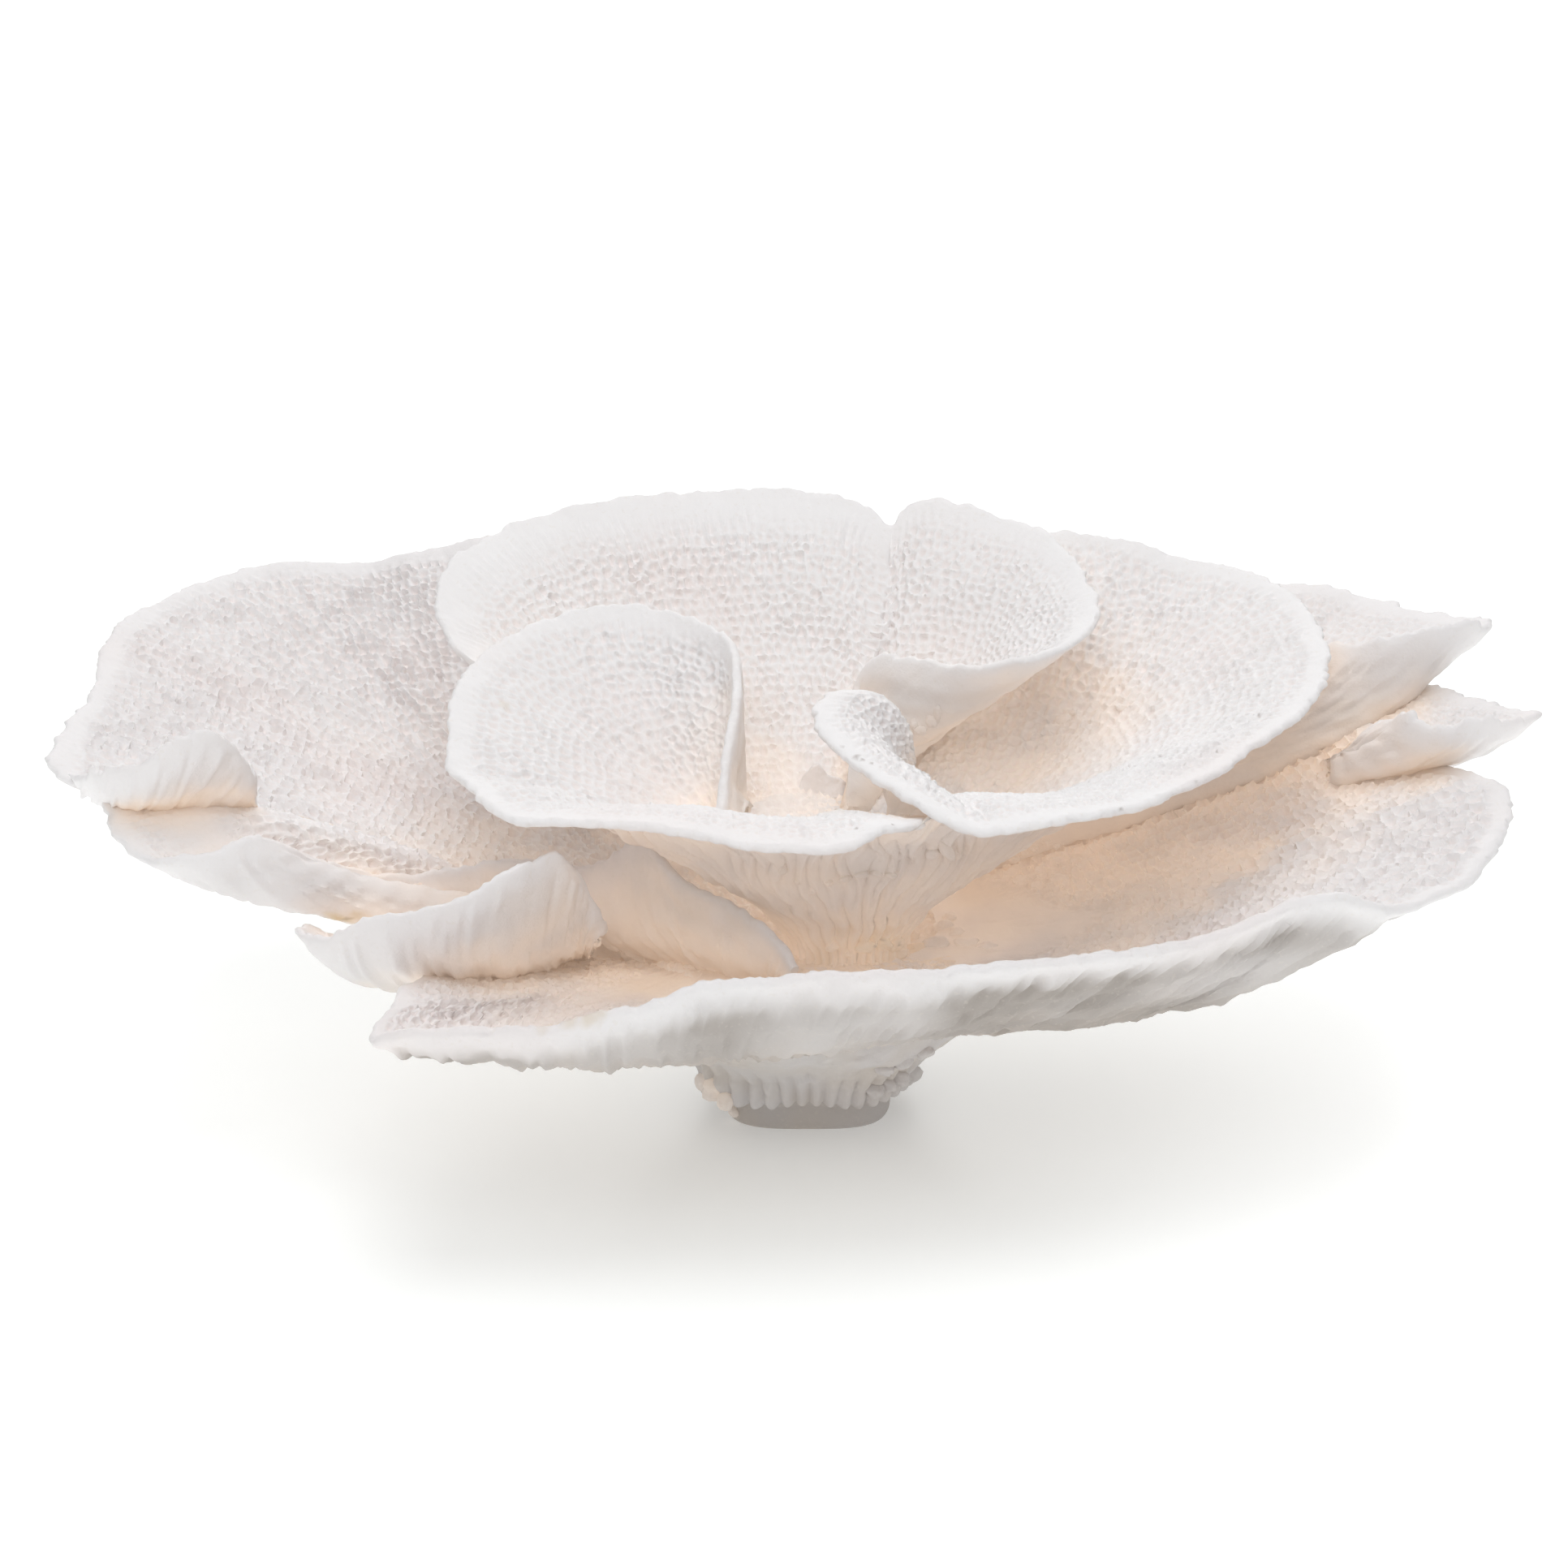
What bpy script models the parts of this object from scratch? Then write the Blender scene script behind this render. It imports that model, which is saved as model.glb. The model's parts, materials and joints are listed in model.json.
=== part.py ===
"""A foliose coral: a dish of wide thin fronds, a smaller cup of fronds on a short stem above it, and a sawn foot."""

import math

import bmesh
import bpy
import numpy as np
from mathutils.bvhtree import BVHTree

# All lengths are in millimetres until a mesh is made. The view that the margins were read from: a long lens, level
# from side to side, looking 20 degrees down along +Y. A margin point is written (column, row, depth): where it is seen
# in a picture 1932 units square, and how far back it lies, which at() turns into a place.
EYE = np.array([-5.14, -1052.65, 470.24])
TILT = math.radians(20.0)
FOCUS = 5366.7
MIDDLE = 966.0

RIM_THICK = 3.4  # a plate at its margin
FOOT_R = 22.5  # the sawn foot
FOOT_H = 5.0
FLOOR_Z = 44.0  # the lower dish's floor, where the stem stands
STEM_AT = (11.0, -6.0)


def at(col, row, depth):
    """The place (x, y, z) seen at this column and row when it lies at this depth."""
    a = (col - MIDDLE) / FOCUS
    b = (row - MIDDLE) / FOCUS
    run = (depth - EYE[1]) / (math.cos(TILT) - b * math.sin(TILT))
    return (EYE[0] + run * a, depth, EYE[2] - run * (math.sin(TILT) + b * math.cos(TILT)))


# Each frond is a fan of ribs. "rim" lists points along its margin, anticlockwise from above, with the rib's rise in
# degrees where it ends there: 0 lies flat, 90 stands up. "root" lists where the ribs start, by share of the margin's
# length, with their rise there. "reach" is how long each end of a rib keeps its own direction, as a share of the rib.
# The front margin runs on without a break from the front frond into the near right one.
FRONT = dict(
    rim=[(600, 1150, -32, 10), (540, 1180, -46, 8), (518, 1203, -60, 8), (496, 1215, -70, 10), (489, 1235, -81, 10),
         (466, 1258, -90, 5, 0.2), (461, 1277, -97, 12, 0.15), (480, 1271, -102, 44, 0.12), (540, 1267, -104, 66, 0.12),
         (620, 1267, -104, 70, 0.15), (680, 1262, -104, 72, 0.2), (740, 1246, -104, 72, 0.25), (800, 1232, -103, 72, 0.3),
         (860, 1212, -102, 70, 0.34), (960, 1202, -101, 70, 0.36), (1070, 1197, -99, 68, 0.36), (1140, 1193, -97, 62, 0.36),
         (1200, 1187, -95, 56, 0.36), (1300, 1178, -90, 48, 0.36), (1390, 1169, -84.5, 46, 0.36),
         (1450, 1160, -80, 52), (1500, 1147, -77, 54), (1550, 1127, -74, 56), (1600, 1106, -72, 58), (1650, 1100, -70, 58),
         (1690, 1112, -67, 46), (1733, 1113, -61, 18), (1770, 1098, -54, 6), (1806, 1084, -47, 4), (1832, 1055, -36, 5),
         (1852, 1015, -20, 8), (1857, 988, -8, 10), (1847, 965, 2, 12), (1832, 956, 8, 14), (1802, 950, 16, 18),
         (1765, 938, 26, 22), (1730, 921, 36, 26), (1695, 897, 46, 30), (1662, 870, 56, 32), (1632, 850, 63, 34),
         (1600, 838, 70, 34), (1560, 826, 80, 34), (1512, 815, 90, 32)],
    root=[(0, -38, -10, 44, 2), (0.066, -30, -20, 45.5, 2), (0.23, -20, -24, 46, 2), (0.41, 12, -22, 46, 0),
          (0.52, 25, -18, 46, -2), (0.69, 32, -10, 46, -1), (0.82, 35, 0, 46, 8), (0.9, 34, 12, 47, 12), (1, 27, 25, 48, 13)],
    reach=(0.45, 0.35), thick=(4.0, 14, 1.6), turn=0.16)
# The same for the large left frond and the near left one, whose flange rolls up and climbs into the partition.
LEFT = dict(
    rim=[(760, 663, 143, 22), (700, 655, 144, 24), (640, 652, 138, 26), (600, 661, 134, 26),
         (540, 675, 135, 25), (500, 682, 136, 24), (450, 692, 138, 22), (420, 693, 138, 20), (370, 691, 138, 20),
         (330, 695, 136, 20), (290, 705, 131, 19), (240, 720, 122, 18), (190, 742, 108, 18), (150, 768, 92, 18),
         (135, 790, 82, 17), (125, 825, 65, 16), (108, 860, 48, 15), (85, 890, 32, 14), (70, 915, 18, 14),
         (66, 935, 7, 16), (76, 951, 1, 16), (98, 963, -3, 12), (118, 973, -7, 6), (131, 984, -11, 0),
         (134, 996, -15, -4), (134, 1008, -19, -6), (143, 1028, -26, -4),
         (165, 1048, -34, 4, 0.2), (195, 1058, -40, 30, 0.15), (225, 1055, -42, 58, 0.12), (250, 1050, -42, 70, 0.12),
         (285, 1037, -40, 76, 0.12), (310, 1030, -38, 78, 0.12), (350, 1042, -34, 78, 0.12), (390, 1060, -28, 76, 0.13),
         (430, 1072, -22, 76, 0.15), (500, 1078, -15, 78, 0.2),
         (560, 1068, -12, 80, 0.26), (620, 1060, -12, 82, 0.26), (660, 1062, -14, 82, 0.26), (705, 1069, -17, 82, 0.28),
         (745, 1060, -20, 82, 0.3), (770, 1046, -22, 82, 0.32), (786, 1029, -24, 82, 0.34), (803, 1036, -25, 82, 0.34),
         (818, 1054, -26, 80, 0.34), (836, 1074, -28, 78, 0.34), (860, 1090, -30, 76, 0.34), (895, 1108, -33, 74, 0.32),
         (930, 1130, -37, 70, 0.3), (965, 1160, -42, 62, 0.3), (984, 1190, -46, 40, 0.3)],
    root=[(0, -8, 17, 46, 6), (0.27, -22, 8, 46, 7), (0.53, -26, -3, 46, 9), (0.65, -27, -8, 46, 12),
          (0.78, -24, -13, 46, 12), (0.88, -16, -18, 46, 8), (1, -4, -26, 46, 10)],
    reach=(0.42, 0.38), thick=(3.4, 8, 2.0))
# The same for the upper cup's ear and back.
BACK = dict(
    rim=[(1054, 882, 33, 6), (1060, 852, 35, 22), (1072, 828, 36, 38), (1093, 811, 31, 54), (1121, 810, 25, 58),
         (1155, 817, 18, 58), (1204, 820, 12, 56), (1242, 813, 11, 50), (1293, 800, 14, 40), (1328, 783, 20, 26),
         (1351, 757, 31, 20), (1340, 720, 46, 24), (1320, 685, 60, 28), (1290, 657, 71, 32), (1240, 640, 79, 34),
         (1190, 621, 86, 36), (1155, 614, 90, 36), (1125, 619, 91, 38), (1108, 634, 89, 40), (1099, 648, 87, 40),
         (1088, 640, 88, 38),
         (1070, 624, 91, 36), (1040, 612, 93, 36), (1000, 606, 95, 36), (935, 603, 96, 36), (870, 605, 95, 36),
         (800, 609, 92, 36), (740, 617, 88, 36), (680, 630, 82, 34), (640, 645, 76, 32), (590, 668, 66, 28),
         (560, 690, 58, 26), (545, 715, 51, 24), (541, 745, 43, 20), (549, 776, 35, 16), (562, 799, 29, 14),
         (587, 819, 24, 12), (612, 830, 20, 10)],
    root=[(0, 14, 31, 89, 10), (0.2, 14, 31, 89, 12), (0.33, 12, 20, 83, 10), (0.44, 8, 0, 76, 8), (0.5, 6, -10, 74, 6),
          (0.77, -5, -10, 73, 6), (1, -14, -16, 75, 8)],
    reach=(0.4, 0.34), thick=(3.2, 6, 2.0))

FRONDS = {
    "lower_back_frond": dict(
        rim=[(1330, 690, 140, 22), (1260, 685, 146, 24), (1150, 678, 152, 25), (1050, 672, 156, 26),
             (950, 668, 158, 26), (860, 665, 156, 25), (800, 664, 151, 24), (775, 668, 143, 22)],
        root=[(0, 12, 16, 46, 6), (1, -2, 18, 46, 6)], reach=(0.42, 0.42), thick=(3.4, 8, 2.0)),
    "lower_left_frond": dict(LEFT, part=(0, 23)),
    "lower_near_left_frond": dict(LEFT, part=(23, -1)),
    "lower_left_tab": dict(
        rim=[(84, 954, -3, 30), (105, 954, -13, 55), (130, 948, -18, 72), (160, 943, -22, 80), (200, 925, -24, 84),
             (235, 905, -23, 84), (265, 902, -21, 84), (285, 915, -18, 84), (300, 935, -15, 84), (312, 960, -11, 84),
             (315, 974, -9, 82)],
        root=[(0, 92, 958, 2, 10), (0.25, 140, 985, -2, 30), (0.5, 190, 1003, -6, 45), (0.8, 270, 1006, -5, 60),
              (1, 318, 998, -3, 70)], reach=(0.4, 0.4), thick=(2.8, 3.4, 1.0)),
    "lower_folded_frond": dict(
        rim=[(378, 1137, -38, 30), (371, 1143, -46, 34, 0.5), (379, 1150, -54, 58, 0.55), (400, 1150, -60, 76, 0.55),
             (440, 1138, -64, 82, 0.5), (500, 1125, -66, 84, 0.42), (560, 1108, -67, 85, 0.36), (600, 1088, -66, 86, 0.34),
             (630, 1068, -63, 88, 0.32), (660, 1062, -58, 90, 0.3), (683, 1054, -54, 90, 0.3), (702, 1068, -50, 88, 0.3),
             (718, 1092, -46, 86, 0.3), (734, 1120, -43, 82, 0.3), (738, 1138, -41, 74, 0.3), (730, 1150, -40, 64, 0.3)],
        root=[(0, -72, -22, 51, -4), (0.5, -62, -16, 52, -8), (1, -54, -15, 53, -6)], reach=(0.42, 0.30), thick=(2.8, 4.5, 1.6),
        turn=0.3),
    "lower_front_frond": dict(FRONT, part=(0, 19)),
    "lower_near_right_frond": dict(FRONT, part=(19, -1)),
    "lower_right_frond": dict(
        rim=[(1684, 906, 43, 26), (1703, 898, 34, 46), (1725, 889, 25, 66), (1745, 884, 19, 74), (1757, 891, 17, 76),
             (1790, 887, 15, 76), (1835, 880, 17, 72), (1872, 884, 20, 50), (1886, 876, 28, 24), (1850, 868, 40, 12),
             (1800, 856, 52, 10), (1770, 848, 58, 10), (1740, 841, 64, 12), (1712, 842, 68, 14)],
        root=[(0, 137, 39, 74.5, 30), (0.5, 133, 44, 75, 28), (1, 128, 55, 78.5, 24)], reach=(0.42, 0.30), thick=(3.4, 4.5, 1.6)),
    "lower_back_right_frond": dict(
        rim=[(1612, 812, 66, 40), (1640, 801, 60, 62), (1680, 791, 56, 72), (1716, 785, 54, 76),
             (1766, 777, 54, 74), (1796, 770, 57, 66), (1829, 768, 66, 34), (1826, 762, 72, 22), (1790, 758, 82, 16),
             (1740, 748, 93, 16), (1690, 737, 103, 16), (1640, 723, 111, 18), (1600, 719, 115, 18), (1540, 716, 121, 20),
             (1460, 706, 129, 22), (1400, 700, 134, 22), (1360, 700, 134, 20)],
        root=[(0, 34, 31, 54, 16), (0.5, 28, 32, 52, 14), (1, 16, 24, 48, 10)], reach=(0.42, 0.28), thick=(3.4, 8, 2.0)),
    "upper_back_frond": dict(BACK, part=(19, -1)),
    "upper_ear_frond": dict(BACK, part=(0, 19)),
    "upper_left_frond": dict(
        rim=[(880, 1024, -40, 66), (883, 992, -35, 76), (886, 960, -30, 80), (889, 930, -24, 82), (898, 888, -14, 84), (902, 829, 2, 80),
             (899, 804, 10, 74), (885, 783, 17, 66), (856, 768, 23, 56), (814, 752, 29, 48), (767, 747, 31, 44),
             (708, 752, 29, 40), (658, 766, 23, 36), (607, 796, 13, 30), (585, 815, 6, 26), (569, 838, -2, 22),
             (560, 885, -16, 18), (556, 925, -28, 14), (560, 948, -35, 12), (582, 968, -43, 8), (600, 988, -50, 6),
             (624, 1002, -56, 4), (725, 1010, -64, -2), (809, 1015, -68, -4), (870, 1028, -72, -6), (919, 1038, -75, -6),
             (985, 1043, -77, -6), (1024, 1044, -76, -6), (1060, 1033, -73, -4), (1087, 1020, -69, 0),
             (1125, 1012, -62, 6), (1150, 1004, -50, 14)],
        root=[(0, -17, -20, 84, 60), (0.2, -21, -16, 84, 50), (0.4, -22, -16, 84, 22), (0.6, -20, -22, 82, 14),
              (0.75, -13, -24, 78, 40), (0.88, -4, -22, 74, 56), (1, 8, -20, 72, 60)], reach=(0.45, 0.40),
        thick=(3.4, 6, 2.0)),
    "upper_right_frond": dict(
        rim=[(1110, 900, 8, 24), (1106, 880, 5, 10), (1090, 868, 2, 0), (1070, 855, 0, -6),
             (1050, 849, -3, -8), (1025, 853, -8, -10), (1008, 868, -15, -10), (1006, 882, -21, -10),
             (1015, 900, -28, -10), (1038, 922, -36, -10), (1065, 947, -44, -10), (1100, 968, -52, -10),
             (1130, 986, -59, -10), (1160, 1004, -65, -8), (1210, 1023, -69, -8), (1260, 1014, -67, -6), (1330, 1003, -61, -2),
             (1400, 990, -53, 2), (1440, 975, -46, 4), (1500, 945, -33, 8), (1560, 905, -15, 10), (1600, 875, 0, 12),
             (1625, 845, 14, 12), (1635, 810, 30, 12), (1625, 775, 46, 14), (1600, 740, 62, 16), (1570, 718, 72, 18),
             (1530, 702, 79, 20), (1450, 685, 87, 26), (1400, 668, 90, 30), (1340, 656, 93, 32), (1290, 655, 93, 32),
             (1240, 672, 88, 30), (1190, 700, 82, 26), (1152, 712, 76, 24)],
        root=[(0, 28, -3, 74, 78), (0.15, 28, -8, 72, 82), (0.3, 24, -14, 70, 66), (0.42, 27, -14, 68, 40),
              (0.6, 31, -8, 67, 18), (0.8, 29, 0, 67, 12), (1, 16, 3, 71, 12)], reach=(0.44, 0.38), thick=(3.4, 6, 2.0)),
}


def spread(x, xs, ys):
    """A smooth curve through the points (xs, ys), which overshoots little: cubic, with each slope held to its neighbours."""
    xs = np.asarray(xs, float)
    ys = np.asarray(ys, float)
    gaps = np.diff(xs)
    slopes = np.diff(ys) / gaps
    lean = np.empty(len(xs))
    lean[1:-1] = (slopes[:-1] * gaps[1:] + slopes[1:] * gaps[:-1]) / (gaps[:-1] + gaps[1:])
    lean[0], lean[-1] = slopes[0], slopes[-1]
    k = np.clip(np.searchsorted(xs, x) - 1, 0, len(xs) - 2)
    t = (x - xs[k]) / gaps[k]
    return (ys[k] * (1 + 2 * t) * (1 - t) ** 2 + ys[k + 1] * t * t * (3 - 2 * t)
            + gaps[k] * (lean[k] * t * (1 - t) ** 2 - lean[k + 1] * t * t * (1 - t)))


def seen(row):
    """A margin or root point as (x, y, z): a picture place has columns and rows, which are all over 60 and 200."""
    a, b, c = row[:3]
    return at(a, b, c) if b > 200 else (a, b, c)


class Frond:
    """The upper face of one frond, as a function of u along the margin and v out from the root."""

    def __init__(self, spec):
        rim = np.array([seen(row) for row in spec["rim"]])
        rise = [row[3] for row in spec["rim"]]
        self.late = [row[4] if len(row) > 4 else spec["reach"][1] for row in spec["rim"]]
        gaps = np.linalg.norm(np.diff(rim, axis=0), axis=1)
        along = np.concatenate([[0], np.cumsum(gaps)])
        self.stations = along / along[-1]
        first, final = spec.get("part", (0, -1))
        self.low, self.high = self.stations[first], self.stations[final]
        self.length = along[-1] * (self.high - self.low)
        self.ticks = self.stations[(self.stations >= self.low) & (self.stations <= self.high)]
        self.ticks = (self.ticks - self.low) / (self.high - self.low)
        self.rim, self.rise = rim, rise
        root = np.array([seen(row[-4:]) for row in spec["root"]])
        self.root_at = [row[0] for row in spec["root"]]
        self.root, self.root_rise = root, [row[-1] for row in spec["root"]]
        self.reach, self.thick, self.turn = spec["reach"][0], spec["thick"], spec.get("turn", 0.45)

    def ribs(self, u):
        u = self.low + np.clip(u, 0, 1) * (self.high - self.low)
        rim = np.stack([spread(u, self.stations, self.rim[:, i]) for i in range(3)], -1)
        root = np.stack([np.interp(u, self.root_at, self.root[:, i]) for i in range(3)], -1)
        step = 0.012
        ahead = np.stack([spread(np.minimum(u + step, 1), self.stations, self.rim[:, i]) for i in range(2)], -1)
        behind = np.stack([spread(np.maximum(u - step, 0), self.stations, self.rim[:, i]) for i in range(2)], -1)
        way = ahead - behind
        across = np.stack([way[..., 1], -way[..., 0]], -1)
        across /= np.linalg.norm(across, axis=-1, keepdims=True) + 1e-6
        out = rim[..., :2] - root[..., :2]
        out /= np.linalg.norm(out, axis=-1, keepdims=True) + 1e-6
        climb = spread(np.minimum(u + step, 1), self.stations, self.rim[:, 2]) - spread(
            np.maximum(u - step, 0), self.stations, self.rim[:, 2])
        level = np.linalg.norm(way, axis=-1) / (np.hypot(np.linalg.norm(way, axis=-1), climb) + 1e-6)
        share = self.turn * np.clip((across * out).sum(-1, keepdims=True) + 0.4, 0, 1) * level[..., None] ** 2
        turned = across * share + out * (1 - share)
        turned /= np.linalg.norm(turned, axis=-1, keepdims=True) + 1e-6
        rise = np.radians(spread(u, self.stations, self.rise))[..., None]
        base = np.radians(np.interp(u, self.root_at, self.root_rise))[..., None]
        start = np.concatenate([out * np.cos(base), np.sin(base)], -1)
        end = np.concatenate([turned * np.cos(rise), np.sin(rise)], -1)
        span = np.linalg.norm(rim - root, axis=-1, keepdims=True)
        late = np.interp(u, self.stations, self.late)[..., None]
        return root, root + start * span * self.reach, rim - end * span * late, rim

    def top(self, u, v):
        """Points for u and v of one shape."""
        a, b, c, d = self.ribs(u)
        v = v[..., None]
        return a * (1 - v) ** 3 + 3 * b * v * (1 - v) ** 2 + 3 * c * v * v * (1 - v) + d * v ** 3

    def normal(self, u, v):
        e = 0.004
        du = self.top(np.minimum(u + e, 1), v) - self.top(np.maximum(u - e, 0), v)
        dv = self.top(u, np.minimum(v + e, 1)) - self.top(u, np.maximum(v - e, 0))
        n = np.cross(dv, du)
        return n / (np.linalg.norm(n, axis=-1, keepdims=True) + 1e-9)

    def depth(self, v):
        rim, root, power = self.thick
        return rim + (root - rim) * (1 - v) ** power


# The two pieces that the fronds grow from, as (radius, height) up one side and in over the top.
HOLDFAST_AT = (1.0, -1.0)
HOLDFAST = [(FOOT_R, 0), (FOOT_R, FOOT_H), (27, 8), (34, 12.5), (42, 18), (49, 26), (52, 33), (50, 41), (45, 46), (30, 45),
            (10, FLOOR_Z)]
STEM = [(14, FLOOR_Z), (15.5, 50), (20, 57), (28, 66), (35, 75), (33, 78), (24, 78.5), (10, 75)]

GAP = 0.35  # between one piece and the next
HEART = 45.0  # inside this radius the lower dish is all holdfast
CORE = 23.5  # inside this radius the upper cup is all stem
END = 5.0  # a frond begins and ends where its ribs reach this far past the column that it grows from
FREE = ("lower_left_tab", "lower_right_frond")  # these grow from another frond
CLEAR = 14.0
# A frond that lies all under or all over another is cut by that one thickened upward or downward, so no scrap is left.
WHOLLY = {"upper_ear_frond": [("upper_right_frond", 0.0, CLEAR)]}
# Where a margin runs in along its own ribs, or ribs crowd at the root, the frond is left off: it would cross itself there.
ENDS = {"upper_left_frond": (3, -1), "lower_folded_frond": (0, 13)}  # the first and last margin point that are kept
STARTS = {"upper_ear_frond": ((0, 0.22), (19, 0.22)),  # by margin point, how far out its ribs begin
          "lower_near_left_frond": ((23, 0.45), (35, 0.45), (38, 0.34), (41, 0.2), (43, 0.12), (45, 0.0)),
          "lower_right_frond": ((0, 0.3), (13, 0.3))}
SIDES = 24
ACROSS = np.array([0.0, 0.3, 0.58, 0.82, 1.0])
LONGEST = 30.0  # the widest facet along a margin
UPPER = ("upper_left_frond", "upper_right_frond", "upper_back_frond", "upper_ear_frond")
LOWER = ("lower_left_tab", "lower_left_frond", "lower_front_frond", "lower_near_left_frond", "lower_folded_frond",
         "lower_near_right_frond", "lower_back_right_frond", "lower_right_frond", "lower_back_frond")
COLOURS = {"lower": (0.83, 0.79, 0.75), "upper": (0.87, 0.84, 0.81), "holdfast": (0.70, 0.66, 0.60)}


def solid(name, points, faces):
    mesh = bpy.data.meshes.new(name)
    mesh.from_pydata((np.asarray(points) * 0.001).tolist(), [], faces)
    mesh.validate()
    work = bmesh.new()
    work.from_mesh(mesh)
    bmesh.ops.triangulate(work, faces=work.faces[:])
    bmesh.ops.recalc_face_normals(work, faces=work.faces[:])
    work.to_mesh(mesh)
    work.free()
    made = bpy.data.objects.new(name, mesh)
    bpy.context.scene.collection.objects.link(made)
    return made


def helper(made):
    made.hide_render = True
    made.display_type = "WIRE"
    return made


def lathe(name, profile, centre, sides=SIDES):
    turn = np.arange(sides) * 2 * math.pi / sides
    points = [(centre[0] + r * math.cos(a), centre[1] + r * math.sin(a), z) for r, z in profile for a in turn]
    faces = [(i * sides + k, i * sides + (k + 1) % sides, (i + 1) * sides + (k + 1) % sides, (i + 1) * sides + k)
             for i in range(len(profile) - 1) for k in range(sides)]
    faces.append(tuple(range((len(profile) - 1) * sides, len(profile) * sides)))
    faces.append(tuple(reversed(range(sides))))
    return solid(name, points, faces)


def clear_of(frond, centre, radius):
    """The share of the margin whose ribs leave the column of this radius, and for any u the v where its rib leaves it."""
    u, v = np.meshgrid(np.linspace(0, 1, 401), np.linspace(0, 1, 201), indexing="ij")
    away = np.hypot(*(frond.top(u, v)[..., :2] - np.array(centre)).transpose(2, 0, 1))
    out = np.flatnonzero(away[:, -1] > radius + END)
    inside = away < radius
    last = np.where(inside.any(1), 200 - np.argmax(inside[:, ::-1], axis=1), -1)
    leaves = (last + 1) / 200.0
    return out[0] / 400.0, out[-1] / 400.0, lambda at_u: np.interp(at_u, u[:, 0], np.minimum(leaves, 0.9))


def name_of(name):
    return name.rsplit("_", 1)[0] if name.endswith(("_cutter", "_wide")) else name


def closed(upper, lower):
    """The points and triangles of a plate between two grids, each four-sided facet split along its shorter diagonal."""
    nu, nv = upper.shape[:2]
    index = np.arange(nu * nv).reshape(nu, nv)
    under = index + nu * nv
    rings = []
    for i in range(nu - 1):
        for j in range(nv - 1):
            rings.append((index[i, j], index[i, j + 1], index[i + 1, j + 1], index[i + 1, j]))
            rings.append((under[i, j], under[i + 1, j], under[i + 1, j + 1], under[i, j + 1]))
        rings.append((index[i, -1], under[i, -1], under[i + 1, -1], index[i + 1, -1]))
        rings.append((index[i, 0], index[i + 1, 0], under[i + 1, 0], under[i, 0]))
    for j in range(nv - 1):
        rings.append((index[0, j], under[0, j], under[0, j + 1], index[0, j + 1]))
        rings.append((index[-1, j], index[-1, j + 1], under[-1, j + 1], under[-1, j]))
    points = np.concatenate([upper.reshape(-1, 3), lower.reshape(-1, 3)])
    faces = []
    for a, b, c, d in rings:
        if np.linalg.norm(points[a] - points[c]) <= np.linalg.norm(points[b] - points[d]):
            faces += [(int(a), int(b), int(c)), (int(a), int(c), int(d))]
        else:
            faces += [(int(a), int(b), int(d)), (int(b), int(c), int(d))]
    return points, faces


def beside(grid):
    """The mean of each grid point's neighbours."""
    padded = np.pad(grid, ((1, 1), (1, 1), (0, 0)), mode="edge")
    return (padded[:-2, 1:-1] + padded[2:, 1:-1] + padded[1:-1, :-2] + padded[1:-1, 2:]) * 0.25


def settle(upper, reach):
    """Thins and evens a plate where its own facets cross, which they do where its ribs crowd near the root."""
    at_first, upper, reach = upper, upper.copy(), reach.copy()
    nu, nv = upper.shape[:2]
    for _ in range(80):
        points, faces = closed(upper, upper - reach)
        tree = BVHTree.FromPolygons(points.tolist(), faces, epsilon=0.0)
        crossed = [(a, b) for a, b in tree.overlap(tree) if a < b and not set(faces[a]) & set(faces[b])]
        if not crossed:
            break
        for layer in (0, 1):
            marks = np.zeros((nu, nv), bool)
            for a, b in crossed:
                on_top = all(k < nu * nv for k in (*faces[a], *faces[b]))
                if layer and not on_top:
                    continue
                for k in (*faces[a], *faces[b]):
                    marks[(k % (nu * nv)) // nv, (k % (nu * nv)) % nv] = True
            if layer:
                marks[:, -1] = False
                upper[marks] = (upper * 0.5 + beside(upper) * 0.5)[marks]
                upper = at_first + np.clip(upper - at_first, -8.0, 8.0)
            else:
                reach[marks] = ((reach * 0.5 + beside(reach) * 0.5) * 0.96)[marks]
    return upper, reach


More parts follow.
